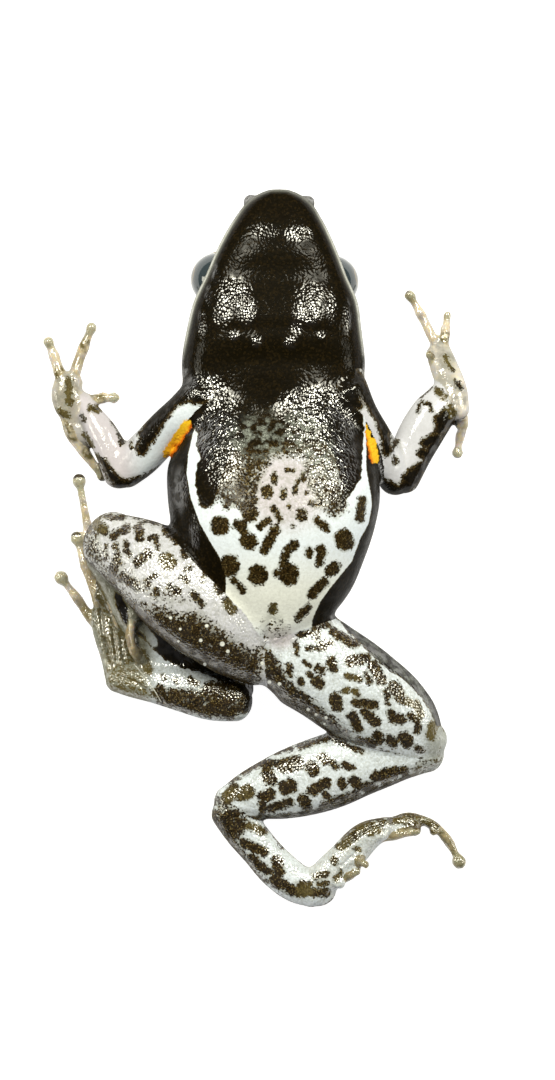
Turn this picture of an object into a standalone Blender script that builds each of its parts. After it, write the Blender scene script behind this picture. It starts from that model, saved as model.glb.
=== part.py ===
"""Poison dart frog, life size and still, lying on its back on a floor at z = 0.

The belly faces up (+Z) and the snout points to +Y. The frog's right limbs are on the -X side: its
right leg is folded against the flank, its left leg is half stretched. Sizes are in millimetres and
are turned into metres when the meshes are made.
"""

import math

import bmesh
import bpy
import numpy as np
from mathutils import Vector

MODEL = "poison_dart_frog"
METRES = 0.001

# Driving dimensions
BODY_LENGTH = 25.9
BODY_DEPTH = 8.6
SNOUT_Y = 16.85
NECK_Y = 6.1
JOINT_GAP = 0.3
DIGIT_RADIUS = 0.31
DISC_RADIUS = 0.4
DIGIT_LEVEL = 0.27
EYE_RADIUS = 1.63
EYE_GAP = 0.15
LIP_STEP = 0.28

VENT_Y = SNOUT_Y - BODY_LENGTH
RUMP_Y = VENT_Y - 1.2
HIP_SPLIT_X = -1.05

# Trunk and head stations: y, right flank x, left flank x, lowest z, widest z, highest z
TRUNK = (
    (NECK_Y - JOINT_GAP / 2, -5.05, 5.0, 0.1, 3.3, 5.6),
    (4.2, -5.1, 5.15, -0.1, 3.5, 5.85),
    (2.4, -5.3, 5.4, -0.3, 3.6, 0.77 * BODY_DEPTH),
    (0.3, -6.4, 6.1, -0.4, 3.7, 0.88 * BODY_DEPTH),
    (-1.5, -6.45, 6.3, -0.4, 3.8, 0.96 * BODY_DEPTH),
    (-3.4, -6.2, 6.0, -0.4, 3.8, BODY_DEPTH),
    (-5.5, -5.7, 5.3, -0.35, 3.7, 0.96 * BODY_DEPTH),
    (-7.3, -4.9, 4.5, -0.2, 3.6, 0.87 * BODY_DEPTH),
    (-8.7, -3.9, 3.4, 0.1, 3.5, 0.77 * BODY_DEPTH),
    (RUMP_Y, -2.2, 1.4, 0.8, 3.3, 0.64 * BODY_DEPTH),
    (RUMP_Y - 0.7, -1.1, 0.2, 1.9, 3.2, 0.5 * BODY_DEPTH),
)

SKULL = (
    (NECK_Y + JOINT_GAP / 2, -5.6, 5.4, 0.15, 3.4, 4.4),
    (8.5, -5.28, 5.18, 0.2, 3.4, 4.2),
    (10.1, -4.88, 4.95, 0.25, 3.4, 4.1),
    (11.6, -4.2, 4.32, 0.3, 3.35, 4.0),
    (13.2, -3.5, 3.7, 0.5, 3.2, 3.8),
    (15.0, -2.5, 2.85, 0.8, 2.9, 3.4),
    (16.1, -1.65, 2.1, 1.1, 2.6, 3.0),
    (16.6, -0.95, 1.4, 1.35, 2.4, 2.8),
    (SNOUT_Y, -0.3, 0.75, 1.7, 2.3, 2.6),
)

JAW_HEIGHTS = (5.55, 5.6, 5.26, 4.78, 4.6, 4.05, 3.55, 3.3, 3.1)

# Limb stations: x, y, z, half width, half depth
UPPER_ARM_RIGHT = (
    (-4.25, 4.5, 3.9, 1.35, 1.6),
    (-5.35, 3.45, 3.6, 1.24, 1.5),
    (-6.4, 2.6, 3.0, 1.16, 1.25),
    (-7.3, 1.6, 2.3, 1.22, 1.15),
    (-8.2, 0.7, 1.7, 1.22, 1.15),
    (-9.0, 0.05, 1.3, 1.15, 1.12),
)
UPPER_ARM_LEFT = (
    (4.3, 4.8, 3.9, 1.3, 1.6),
    (5.1, 3.3, 3.7, 1.1, 1.4),
    (5.8, 2.1, 3.2, 1.1, 1.3),
    (6.5, 0.8, 2.4, 1.15, 1.2),
    (7.3, -0.4, 1.6, 1.15, 1.2),
)
FOREARM_RIGHT = (
    (-9.15, -0.1, 1.25, 1.2, 1.18),
    (-9.85, 1.2, 1.15, 1.0, 1.05),
    (-10.5, 2.4, 1.0, 0.9, 0.9),
    (-11.1, 3.4, 0.8, 0.66, 0.68),
    (-11.5, 4.0, 0.6, 0.5, 0.5),
)
FOREARM_LEFT = (
    (7.55, -0.45, 1.4, 1.15, 1.25),
    (8.25, 1.2, 1.4, 1.28, 1.3),
    (9.0, 2.6, 1.4, 1.35, 1.25),
    (9.7, 3.7, 1.35, 1.25, 1.1),
    (10.1, 4.4, 1.25, 0.95, 0.9),
)
PALM_RIGHT = (
    (-11.5, 3.75, 0.55, 0.65, 0.5),
    (-12.1, 3.75, 0.5, 0.95, 0.5),
    (-12.5, 4.4, 0.48, 0.95, 0.5),
    (-12.4, 5.4, 0.42, 0.85, 0.42),
)
PALM_LEFT = (
    (11.1, 3.5, 1.9, 0.6, 0.5),
    (10.75, 4.7, 1.6, 0.82, 0.52),
    (10.2, 6.1, 1.0, 0.85, 0.5),
    (9.8, 7.2, 0.6, 0.75, 0.42),
)
THIGH_RIGHT = (
    (-0.9, -11.3, 3.5, 1.75, 1.8),
    (-2.3, -10.3, 4.1, 2.25, 2.1),
    (-3.6, -9.1, 4.9, 2.65, 2.2),
    (-5.5, -7.5, 5.2, 2.8, 2.2),
    (-7.6, -5.6, 4.4, 2.55, 2.0),
    (-9.9, -4.3, 3.2, 1.85, 1.5),
)
THIGH_LEFT = (
    (-0.6, -10.5, 3.4, 2.1, 2.0),
    (1.4, -11.1, 3.3, 2.95, 2.3),
    (3.3, -12.2, 3.1, 3.0, 2.4),
    (5.3, -13.6, 2.8, 2.95, 2.3),
    (7.2, -14.9, 2.4, 2.6, 2.0),
    (8.4, -15.75, 2.0, 2.0, 1.65),
    (9.15, -16.3, 1.6, 1.25, 1.4),
)
SHANK_RIGHT = (
    (-10.3, -5.1, 2.0, 1.2, 1.1),
    (-9.0, -6.3, 1.6, 1.75, 1.35),
    (-7.4, -8.35, 1.4, 2.25, 1.45),
    (-5.4, -10.65, 1.3, 2.2, 1.4),
    (-3.8, -12.1, 1.15, 1.7, 1.25),
    (-2.2, -13.3, 1.0, 1.05, 1.1),
)
SHANK_LEFT = (
    (9.2, -16.95, 1.4, 1.2, 1.3),
    (7.2, -17.0, 1.6, 1.8, 1.65),
    (5.3, -17.4, 1.7, 2.1, 1.8),
    (3.0, -18.2, 1.7, 2.25, 1.8),
    (0.4, -19.0, 1.5, 2.0, 1.6),
    (-1.3, -19.5, 1.25, 1.56, 1.3),
    (-2.7, -20.1, 1.1, 1.15, 1.15),
)
TARSUS_RIGHT = (
    (-2.3, -13.9, 2.5, 1.2, 0.9),
    (-3.6, -13.7, 2.5, 1.36, 1.0),
    (-5.4, -13.2, 2.3, 1.36, 1.0),
    (-7.2, -12.85, 1.9, 1.15, 0.95),
    (-8.8, -12.6, 1.4, 0.98, 0.85),
    (-9.5, -12.5, 1.15, 0.85, 0.75),
)
TARSUS_LEFT = (
    (-2.75, -20.5, 1.1, 1.15, 1.15),
    (-1.9, -21.6, 1.0, 1.2, 1.05),
    (-0.9, -22.8, 0.95, 1.15, 1.0),
    (0.2, -24.0, 0.95, 1.2, 1.0),
    (1.4, -24.9, 0.95, 1.15, 0.95),
    (2.3, -25.3, 0.95, 1.0, 0.9),
)
SOLE_RIGHT = (
    (-9.3, -12.3, 1.0, 0.95, 0.8),
    (-9.4, -11.1, 0.85, 1.1, 0.75),
    (-9.95, -9.7, 0.7, 1.0, 0.65),
    (-10.3, -8.8, 0.55, 0.85, 0.5),
)
SOLE_LEFT = (
    (2.5, -24.9, 1.0, 1.0, 0.9),
    (4.1, -23.45, 1.0, 1.05, 0.95),
    (5.6, -21.95, 1.0, 0.9, 0.95),
    (6.8, -21.4, 0.9, 0.6, 0.85),
)

# Digit paths from root to tip: x, y and the height over the level that digits lie at
FINGERS_RIGHT = {
    "one": ((-11.8, 3.9, 0.2), (-10.95, 4.2, 0.1), (-10.3, 4.35, 0.0), (-9.85, 4.35, 0.0)),
    "two": ((-12.2, 4.9, 0.1), (-11.95, 6.1, 0.1), (-11.5, 7.4, 0.0), (-11.1, 8.4, 0.0)),
    "three": ((-12.5, 4.9, 0.1), (-13.0, 6.0, 0.1), (-13.3, 6.9, 0.0), (-13.55, 7.55, 0.0)),
    "four": ((-12.75, 3.6, 0.2), (-12.3, 2.2, 0.1), (-11.4, 1.0, 0.1), (-10.5, -0.2, 0.1)),
}
FINGERS_LEFT = {
    "one": ((9.9, 6.2, 0.7), (9.45, 6.65, 0.7), (9.35, 6.8, 1.1)),
    "two": ((9.8, 7.1, 0.3), (9.3, 8.3, 0.2), (8.75, 9.4, 0.0), (8.2, 10.35, 0.0)),
    "three": ((10.1, 7.0, 0.3), (10.25, 8.2, 0.2), (10.35, 9.15, 0.0)),
    "four": ((10.9, 4.2, 1.4), (11.35, 2.95, 0.9), (11.1, 1.9, 0.2), (11.0, 1.2, 0.1)),
}
TOES_RIGHT = {
    "one": ((-7.9, -11.8, 1.5), (-8.45, -10.9, 2.2), (-8.7, -9.9, 2.65), (-8.5, -8.9, 2.8)),
    "two": ((-9.2, -10.3, 0.5), (-9.4, -9.2, 0.9), (-9.7, -8.1, 1.3), (-9.85, -7.4, 1.6)),
    "three": ((-10.1, -9.3, 0.4), (-10.8, -7.4, 0.5), (-11.45, -5.6, 0.4), (-11.85, -4.25, 0.2)),
    "four": ((-10.5, -9.2, 0.1), (-10.9, -6.6, 0.0), (-11.15, -4.2, 0.0), (-11.75, -0.8, 0.0)),
    "five": ((-10.6, -9.6, 0.1), (-11.1, -8.9, 0.1), (-11.9, -7.7, 0.0), (-12.75, -6.6, 0.0)),
}
TOES_LEFT = {
    "one": ((4.0, -24.2, 1.0), (4.4, -24.4, 1.3), (4.8, -24.2, 1.5)),
    "two": ((4.9, -23.0, 1.2), (5.15, -23.5, 1.6), (5.3, -23.6, 2.0)),
    "three": ((5.9, -22.2, 0.9), (7.2, -21.95, 1.0), (8.35, -21.75, 1.3)),
    "four": (
        (6.4, -21.4, 0.5),
        (8.0, -20.85, 0.4),
        (9.5, -21.35, 0.2),
        (10.45, -22.35, 0.0),
        (11.0, -23.4, 0.0),
    ),
    "five": ((5.6, -21.7, 0.1), (7.0, -21.2, 0.0), (8.4, -21.4, 0.0)),
}

EYES = {
    "eye_right": (-3.45, 11.45, 1.75),
    "eye_left": (3.4, 11.3, 1.75),
}
LID_REACH = (1.5, 1.95, 1.9)
NOSTRILS = ((-1.45, 16.1, 2.0), (1.95, 16.05, 2.0))
NOSTRIL_RIM = 0.46
NOSTRIL_PIT = 0.17

COLOURS = {
    "throat": (0.02, 0.014, 0.008),
    "belly": (0.66, 0.71, 0.73),
    "limb": (0.5, 0.5, 0.44),
    "digit": (0.55, 0.49, 0.32),
    "eye": (0.01, 0.012, 0.015),
}
SKIN_ROUGHNESS = 0.35
EYE_ROUGHNESS = 0.06


def clear_scene():
    for item in list(bpy.data.objects):
        bpy.data.objects.remove(item, do_unlink=True)


def new_collection(name):
    collection = bpy.data.collections.new(name)
    bpy.context.scene.collection.children.link(collection)
    return collection


def material(name):
    made = bpy.data.materials.new(name)
    made.use_nodes = True
    surface = made.node_tree.nodes["Principled BSDF"]
    surface.inputs["Base Color"].default_value = (*COLOURS[name], 1.0)
    surface.inputs["Roughness"].default_value = EYE_ROUGHNESS if name == "eye" else SKIN_ROUGHNESS
    surface.inputs["Metallic"].default_value = 0.0
    return made


def smooth_rows(rows, parts):
    """The rows, with each interval split in parts along a smooth curve through them."""
    table = np.array(rows, dtype=float)
    steps = np.linalg.norm(np.diff(table[:, :2], axis=0), axis=1)
    along = np.concatenate([[0.0], np.cumsum(steps)])
    slopes = np.gradient(table, along, axis=0)
    found = [table[0]]
    for i, step in enumerate(steps):
        for k in range(1, parts + 1):
            t = k / parts
            found.append(
                (2 * t**3 - 3 * t**2 + 1) * table[i]
                + (t**3 - 2 * t**2 + t) * step * slopes[i]
                + (3 * t**2 - 2 * t**3) * table[i + 1]
                + (t**3 - t**2) * step * slopes[i + 1]
            )
    return np.array(found)


def rounded(value, power):
    return math.copysign(abs(value) ** power, value)


def section(sides, square):
    """Points of a rounded outline one unit out, anticlockwise from the right."""
    turns = [2 * math.pi * k / sides for k in range(sides)]
    return [(rounded(math.cos(a), 2 / square), rounded(math.sin(a), 2 / square)) for a in turns]


def body_rings(rows, sides, parts, square=2.3):
    """Upright sections along Y, each with its own lowest, widest and highest level."""
    rings = []
    for y, left, right, low, wide, high in smooth_rows(rows, parts):
        middle = (left + right) / 2
        reach = (right - left) / 2
        ring = []
        for across, up in section(sides, square):
            rise = high - wide if up > 0 else wide - low
            ring.append(Vector((middle + reach * across, y, wide + rise * up)))
        rings.append(ring)
    return rings


def limb_rings(rows, sides, parts, swell=0.0, ends=(0.8, 0.8), square=2.1):
    """Sections across a bent centreline, with rounded ends. Swell moves the surface outwards."""
    table = smooth_rows(rows, parts)
    places = [Vector(row[:3]) for row in table]
    last = len(places) - 1
    stations = []
    for i, place in enumerate(places):
        ahead = (places[min(i + 1, last)] - places[max(i - 1, 0)]).normalized()
        stations.append((place, ahead, table[i][3] + swell, table[i][4] + swell, 1.0))
    caps = [math.radians(a) for a in (22, 52)]
    first, final = stations[0], stations[-1]
    for angle in reversed(caps):
        back = first[1] * (ends[0] * first[2] * math.cos(angle))
        stations.insert(0, (first[0] - back, first[1], first[2], first[3], math.sin(angle)))
    for angle in reversed(caps):
        on = final[1] * (ends[1] * final[2] * math.cos(angle))
        stations.append((final[0] + on, final[1], final[2], final[3], math.sin(angle)))
    rings = []
    for place, ahead, width, depth, scale in stations:
        side = ahead.cross(Vector((0, 0, 1))).normalized()
        up = side.cross(ahead)
        outline = section(sides, square)
        rings.append([place + side * (x * width * scale) + up * (z * depth * scale) for x, z in outline])
    return rings


def loft(name, rings, collection, floor=0.0):
    """A closed body through the rings, with nothing below the floor."""
    shape = bmesh.new()
    loops = []
    for ring in rings:
        loops.append([shape.verts.new((p.x, p.y, max(p.z, floor))) for p in ring])
    count = len(rings[0])
    for near, far in zip(loops, loops[1:]):
        for k in range(count):
            after = (k + 1) % count
            shape.faces.new((near[k], near[after], far[after], far[k]))
    shape.faces.new(loops[0])
    shape.faces.new(loops[-1])
    return body_from(name, shape, collection)


def ball(name, centre, reach, collection, segments=16, rows=10, floor=0.0):
    """A ball, or an egg shape, that reaches out this far along X, Y and Z."""
    shape = bmesh.new()
    bmesh.ops.create_uvsphere(shape, u_segments=segments, v_segments=rows, radius=1.0)
    bmesh.ops.scale(shape, vec=reach, verts=shape.verts)
    for vertex in shape.verts:
        vertex.co += Vector(centre)
        vertex.co.z = max(vertex.co.z, floor)
    return body_from(name, shape, collection)


def body_from(name, shape, collection):
    """The bmesh, in millimetres, as an object in metres."""
    bmesh.ops.triangulate(shape, faces=[f for f in shape.faces if len(f.verts) > 4])
    bmesh.ops.recalc_face_normals(shape, faces=shape.faces)
    bmesh.ops.scale(shape, vec=(METRES, METRES, METRES), verts=shape.verts)
    mesh = bpy.data.meshes.new(name)
    shape.to_mesh(mesh)
    shape.free()
    body = bpy.data.objects.new(name, mesh)
    collection.objects.link(body)
    return body


def apply_modifiers(body):
    bpy.context.view_layer.update()
    evaluated = body.evaluated_get(bpy.context.evaluated_depsgraph_get())
    mesh = bpy.data.meshes.new_from_object(evaluated)
    body.modifiers.clear()
    body.data = mesh


def combine(body, others, operation):
    """One Boolean of the body with all the others, which are then removed."""
    group = new_collection("pieces")
    for other in others:
        for holder in list(other.users_collection):
            holder.objects.unlink(other)
        group.objects.link(other)
        other.hide_render = True
        other.display_type = "WIRE"
    step = body.modifiers.new("combine", "BOOLEAN")
    step.operation = operation
    step.operand_type = "COLLECTION"
    step.collection = group
    step.solver = "EXACT"
    apply_modifiers(body)
    for other in others:
        bpy.data.objects.remove(other, do_unlink=True)
    bpy.data.collections.remove(group)
    keep_largest(body)


def keep_largest(body):
    """Leaves only the body's largest closed surface."""
    shape = bmesh.new()
    shape.from_mesh(body.data)
    unseen = set(shape.faces)
    surfaces = []
    while unseen:
        stack = [unseen.pop()]
        surface = []
        while stack:
            face = stack.pop()
            surface.append(face)
            for edge in face.edges:
                for other in edge.link_faces:
                    if other in unseen:
                        unseen.remove(other)
                        stack.append(other)
        surfaces.append(surface)
    surfaces.sort(key=lambda faces: sum(f.calc_area() for f in faces), reverse=True)
    scraps = [face for surface in surfaces[1:] for face in surface]
    bmesh.ops.delete(shape, geom=scraps, context="FACES")
    loose = [v for v in shape.verts if not v.link_faces]
    bmesh.ops.delete(shape, geom=loose, context="VERTS")
    shape.to_mesh(body.data)
    shape.free()


def trim(body, place, outwards):
    """Cuts off what lies beyond a plane and closes the cut with a flat face."""
    shape = bmesh.new()
    shape.from_mesh(body.data)
    everything = shape.verts[:] + shape.edges[:] + shape.faces[:]
    cut = bmesh.ops.bisect_plane(
        shape,
        geom=everything,
        dist=1e-7,
        plane_co=Vector(place) * METRES,
        plane_no=Vector(outwards),
        clear_outer=True,
    )
    rim = [e for e in cut["geom_cut"] if isinstance(e, bmesh.types.BMEdge)]
    bmesh.ops.holes_fill(shape, edges=rim, sides=0)
    bmesh.ops.recalc_face_normals(shape, faces=shape.faces)
    shape.to_mesh(body.data)
    shape.free()


def digit_rows(path):
    """Stations of a finger or toe: even, a little thicker at its knuckle, with a disc at the tip."""
    rows = []
    last = len(path) - 1
    for i, (x, y, lift) in enumerate(path):
        width = DIGIT_RADIUS * (1.2 if i == 1 and last > 2 else 1.0)
        rows.append((x, y, DIGIT_LEVEL + lift, width, DIGIT_RADIUS))
    x, y, z = rows[-1][:3]
    before = Vector(rows[-2][:3])
    tip = Vector((x, y, z))
    ahead = (tip - before).normalized()
    neck = tip - ahead * (1.1 * DISC_RADIUS)
    rows[-1] = (*neck, 0.85 * DIGIT_RADIUS, 0.9 * DIGIT_RADIUS)
    rows.append((*tip, DISC_RADIUS, DIGIT_RADIUS))
    return rows


def digits(paths, collection, swell=0.0):
    made = []
    for name, path in paths.items():
        rings = limb_rings(digit_rows(path), sides=8, parts=1, swell=swell, ends=(0.5, 0.7), square=2.0)
        made.append(loft("digit_" + name, rings, collection, floor=-swell))
    return made


def limb(name, rows, collection, swell=0.0, ends=(0.8, 0.8)):
    rings = limb_rings(rows, sides=16, parts=2, swell=swell, ends=ends)
    return loft(name, rings, collection, floor=-swell)


def extremity(name, rows, paths, collection, swell=0.0):
    """A palm or a sole with its digits, one closed body."""
    rings = limb_rings(rows, sides=12, parts=1, swell=swell, ends=(0.7, 0.6))
    body = loft(name, rings, collection, floor=-swell)
    combine(body, digits(paths, collection, swell), "UNION")
    return body


def jaw_rows():
    """The lower jaw: inside the upper lip by a step, from just under the lip up to the throat."""
    rows = []
    for (y, left, right, _, lip, _), top in zip(SKULL, JAW_HEIGHTS):
        step = min(LIP_STEP, 0.3 * (right - left))
        rows.append((y, left + step, right - step, lip - 0.8, lip + 0.35, top))
    return rows


def mouth_groove(collection):
    """A thin tube along the line between the lips, from one jaw corner round to the other."""
    rows = smooth_rows(SKULL, 2)
    rows = rows[3:-1]
    bend = 0.14
    near = [(left + bend, y, wide + 0.36, 0.12, 0.12) for y, left, _, _, wide, _ in rows]
    far = [(right - bend, y, wide + 0.36, 0.12, 0.12) for y, _, right, _, wide, _ in rows]
    rings = limb_rings(near + far[::-1], sides=6, parts=1)
    return loft("mouth_groove", rings, collection)


def build_head(collection):
    head = loft("head", body_rings(SKULL, sides=24, parts=2), collection)
    jaw = loft("jaw", body_rings(jaw_rows(), sides=24, parts=2), collection)
    lids = [ball("lid", place, LID_REACH, collection) for place in EYES.values()]
    rims = [ball("nostril_rim", place, (NOSTRIL_RIM,) * 3, collection, 8, 6) for place in NOSTRILS]
    combine(head, [jaw, *lids, *rims], "UNION")
    socket = (EYE_RADIUS + EYE_GAP,) * 3
    sockets = [ball("socket", place, socket, collection, floor=-1.0) for place in EYES.values()]
    pits = []
    for x, y, z in NOSTRILS:
        outer = x + math.copysign(0.9 * NOSTRIL_RIM, x)
        pits.append(ball("nostril_pit", (outer, y + 0.1, z), (NOSTRIL_PIT,) * 3, collection, 8, 6))
    combine(head, [mouth_groove(collection), *sockets, *pits], "DIFFERENCE")
    return head


def build_arm(side, collection):
    """Upper arm, forearm and hand of one side, parted by narrow gaps."""
    right = side == "right"
    upper_rows = UPPER_ARM_RIGHT if right else UPPER_ARM_LEFT
    fore_rows = FOREARM_RIGHT if right else FOREARM_LEFT
    palm_rows = PALM_RIGHT if right else PALM_LEFT
    paths = FINGERS_RIGHT if right else FINGERS_LEFT
    upper = limb(f"upper_arm_{side}", upper_rows, collection, ends=(0.5, 0.9))
    forearm = limb(f"forearm_{side}", fore_rows, collection)
    hand = extremity(f"hand_{side}", palm_rows, paths, collection)
    wide_upper = limb("cutter", upper_rows, collection, swell=JOINT_GAP, ends=(0.5, 0.9))
    wide_hand = extremity("cutter", palm_rows, paths, collection, swell=JOINT_GAP)
    combine(forearm, [wide_upper, wide_hand], "DIFFERENCE")
    return upper, forearm, hand


def build_leg(side, collection):
    """Thigh, shank, tarsus and foot of one side, parted by narrow gaps."""
    right = side == "right"
    thigh_rows = THIGH_RIGHT if right else THIGH_LEFT
    shank_rows = SHANK_RIGHT if right else SHANK_LEFT
    tarsus_rows = TARSUS_RIGHT if right else TARSUS_LEFT
    sole_rows = SOLE_RIGHT if right else SOLE_LEFT
    paths = TOES_RIGHT if right else TOES_LEFT
    thigh = limb(f"thigh_{side}", thigh_rows, collection, ends=(0.7, 0.85))
    shank = limb(f"shank_{side}", shank_rows, collection)
    tarsus = limb(f"tarsus_{side}", tarsus_rows, collection)
    foot = extremity(f"foot_{side}", sole_rows, paths, collection)
    outwards = 1 if right else -1
    trim(thigh, (HIP_SPLIT_X - outwards * JOINT_GAP / 2, 0, 0), (outwards, 0, 0))
    wide_thigh = limb("cutter", thigh_rows, collection, swell=JOINT_GAP, ends=(0.7, 0.85))
    wide_tarsus = limb("cutter", tarsus_rows, collection, swell=JOINT_GAP)
    wide_foot = extremity("cutter", sole_rows, paths, collection, swell=JOINT_GAP)
    combine(shank, [wide_thigh, wide_tarsus, wide_foot], "DIFFERENCE")
    wide_foot = extremity("cutter", sole_rows, paths, collection, swell=JOINT_GAP)
    combine(tarsus, [wide_foot], "DIFFERENCE")
    return thigh, shank, tarsus, foot


def build_torso(collection):
    """The trunk, hollowed where the upper arms and thighs are set into it."""
    torso = loft("torso", body_rings(TRUNK, sides=28, parts=2), collection)
    roots = [
        limb("cutter", UPPER_ARM_RIGHT, collection, swell=JOINT_GAP, ends=(0.5, 0.9)),
        limb("cutter", UPPER_ARM_LEFT, collection, swell=JOINT_GAP, ends=(0.5, 0.9)),
        limb("cutter", THIGH_RIGHT, collection, swell=JOINT_GAP, ends=(0.7, 0.85)),
        limb("cutter", THIGH_LEFT, collection, swell=JOINT_GAP, ends=(0.7, 0.85)),
    ]
    combine(torso, roots, "DIFFERENCE")
    return torso


def finish(body, made_of, skins):
    body.data.materials.clear()
    body.data.materials.append(skins[made_of])
    body.data.shade_smooth()
    body.data.set_sharp_from_angle(angle=math.radians(60))


def main():
    clear_scene()
    frog = new_collection(MODEL)
    skins = {name: material(name) for name in COLOURS}
    finish(build_torso(frog), "belly", skins)
    finish(build_head(frog), "throat", skins)
    for name, place in EYES.items():
        finish(ball(name, place, (EYE_RADIUS,) * 3, frog, 18, 12), "eye", skins)
    for side in ("right", "left"):
        upper, forearm, hand = build_arm(side, frog)
        thigh, shank, tarsus, foot = build_leg(side, frog)
        for body in (upper, forearm, thigh, shank, tarsus):
            finish(body, "limb", skins)
        for body in (hand, foot):
            finish(body, "digit", skins)


main()
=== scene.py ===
import math

import bpy
import numpy as np
from mathutils import Matrix, Vector, noise


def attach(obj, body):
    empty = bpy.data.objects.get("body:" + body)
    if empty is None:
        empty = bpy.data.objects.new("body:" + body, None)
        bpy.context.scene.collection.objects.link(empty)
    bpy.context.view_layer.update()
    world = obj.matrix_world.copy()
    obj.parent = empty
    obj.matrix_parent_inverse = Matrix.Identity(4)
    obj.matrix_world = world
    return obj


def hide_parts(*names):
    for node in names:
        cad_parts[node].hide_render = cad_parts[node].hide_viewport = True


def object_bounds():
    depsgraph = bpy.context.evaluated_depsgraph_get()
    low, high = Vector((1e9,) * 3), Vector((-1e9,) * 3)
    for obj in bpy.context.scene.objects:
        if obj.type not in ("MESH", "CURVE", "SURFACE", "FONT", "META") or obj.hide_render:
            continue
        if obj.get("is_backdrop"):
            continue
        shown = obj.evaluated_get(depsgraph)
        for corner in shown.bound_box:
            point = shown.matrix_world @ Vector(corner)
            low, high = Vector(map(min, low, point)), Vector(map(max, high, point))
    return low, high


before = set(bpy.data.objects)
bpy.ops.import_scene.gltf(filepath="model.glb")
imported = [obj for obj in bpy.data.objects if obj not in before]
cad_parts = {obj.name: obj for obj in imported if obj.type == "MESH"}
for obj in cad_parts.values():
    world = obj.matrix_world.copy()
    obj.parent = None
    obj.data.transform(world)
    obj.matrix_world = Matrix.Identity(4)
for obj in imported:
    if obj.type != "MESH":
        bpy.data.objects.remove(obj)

# The frog lies on its back with the snout towards +Y. Lengths are in millimetres until the meshes
# are finished. The frog's right limbs are on the -X side.
METRES = 0.001
cad_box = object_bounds()

# Places on the skin are read off the photograph in its pixels, 555 wide and 1080 high
PHOTO_SIZE = (555, 1080)
PHOTO_STEP = 0.06
PHOTO_ZERO = (275.0, 470.0)

# Fineness of the fused skin
VOXEL = 0.13
FILLET_ROUNDS = 12
BODY_FILLET_ROUNDS = 30
FILLET_SHARE = 0.6
SECTION_SIDES = 64
LIMB_SIDES = 40
DIGIT_SIDES = 20
BALL_SIDES = 20
STATION_PARTS = 8
DIGIT_PARTS = 6
CAP_TURNS = [math.radians(a) for a in (10, 22, 34, 46, 58, 70, 80)]
BODY_SQUARE = 2.3
LIMB_SQUARE = 2.25
DIGIT_SQUARE = 2.0
BODY_JOINTS = ((-7.5, -13.0), (7.0, 9.0))

# Driving dimensions, as in the solids
BODY_LENGTH = 25.9
BODY_DEPTH = 8.6
SNOUT_Y = 16.85
NECK_Y = 6.1
RUMP_Y = SNOUT_Y - BODY_LENGTH - 1.2
LIP_STEP = 0.28
LIP_SHARE = 0.3
JAW_UNDER_LIP = 0.8
JAW_OVER_LIP = 0.35
FINGER_DISC = 0.35
TOE_DISC = 0.44
SHORT_DISC = 0.26
DISC_STEP = 0.16
DISC_LIFT = 0.02
DIGIT_LEVEL = 0.27
DIGIT_RADII = {"hand_right": 0.3, "hand_left": 0.26, "foot_right": 0.27, "foot_left": 0.27}

# Fingers and toes as shares of their radius: rounded ends, knuckles, the waist behind the disc, the
# hollows between knuckles, the disc, and how far out the skin still belongs to the digit
DIGIT_ENDS = (0.5, 0.5)
KNUCKLE = 1.15
WAIST = 0.8
HOLLOW = 0.1
DISC_SHAPE = (1.06, 1.0, 0.8)
DIGIT_CLAIM = 1.15

# The eye: its radius, fineness and gaze on the left side, and how far the clear front stands out and
# the pupil is stretched, as shares
EYE_RADIUS = 1.63
EYE_RINGS = 48
EYE_SIDES = 64
EYE_GAZE = (1.0, 0.18, -0.12)
CORNEA_RISE = 0.015
PUPIL_STRETCH = 0.25

# Trunk and head stations in order along Y: y, right flank x, left flank x, lowest z, widest z, highest z
TRUNK = (
    (7.4, -4.6, 4.6, 0.6, 3.4, 5.5), (NECK_Y, -5.05, 5, 0.1, 3.3, 5.6),
    (4.2, -5.1, 5.15, -0.1, 3.5, 5.85), (2.4, -5.3, 5.4, -0.3, 3.6, 0.77 * BODY_DEPTH),
    (0.3, -6.4, 6.1, -0.4, 3.7, 0.88 * BODY_DEPTH), (-1.5, -6.45, 6.3, -0.4, 3.8, 0.96 * BODY_DEPTH),
    (-3.4, -6.2, 6, -0.4, 3.8, BODY_DEPTH), (-5.5, -5.7, 5.3, -0.35, 3.7, 0.96 * BODY_DEPTH),
    (-7.3, -4.9, 4.5, -0.2, 3.6, 0.87 * BODY_DEPTH), (-8.7, -3.9, 3.4, 0.1, 3.5, 0.77 * BODY_DEPTH),
    (RUMP_Y, -2.2, 1.4, 0.8, 3.3, 0.64 * BODY_DEPTH),
    (RUMP_Y - 0.7, -1.1, 0.2, 1.9, 3.2, 0.5 * BODY_DEPTH),
)
SKULL = (
    (5, -5.5, 5.3, 0.15, 3.4, 4.4), (NECK_Y + 0.15, -5.6, 5.4, 0.15, 3.4, 4.4),
    (8.5, -5.28, 5.18, 0.2, 3.4, 4.2), (10.1, -4.88, 4.95, 0.25, 3.4, 4.1),
    (11.6, -4.2, 4.32, 0.3, 3.35, 4), (13.2, -3.5, 3.7, 0.5, 3.2, 3.8), (15, -2.5, 2.85, 0.8, 2.9, 3.4),
    (16.1, -1.65, 2.1, 1.1, 2.6, 3), (16.6, -0.95, 1.4, 1.35, 2.4, 2.8),
    (SNOUT_Y, -0.3, 0.75, 1.7, 2.3, 2.6),
)
JAW_HEIGHTS = (5.6, 5.55, 5.6, 5.26, 4.78, 4.6, 4.05, 3.55, 3.3, 3.1)

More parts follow.
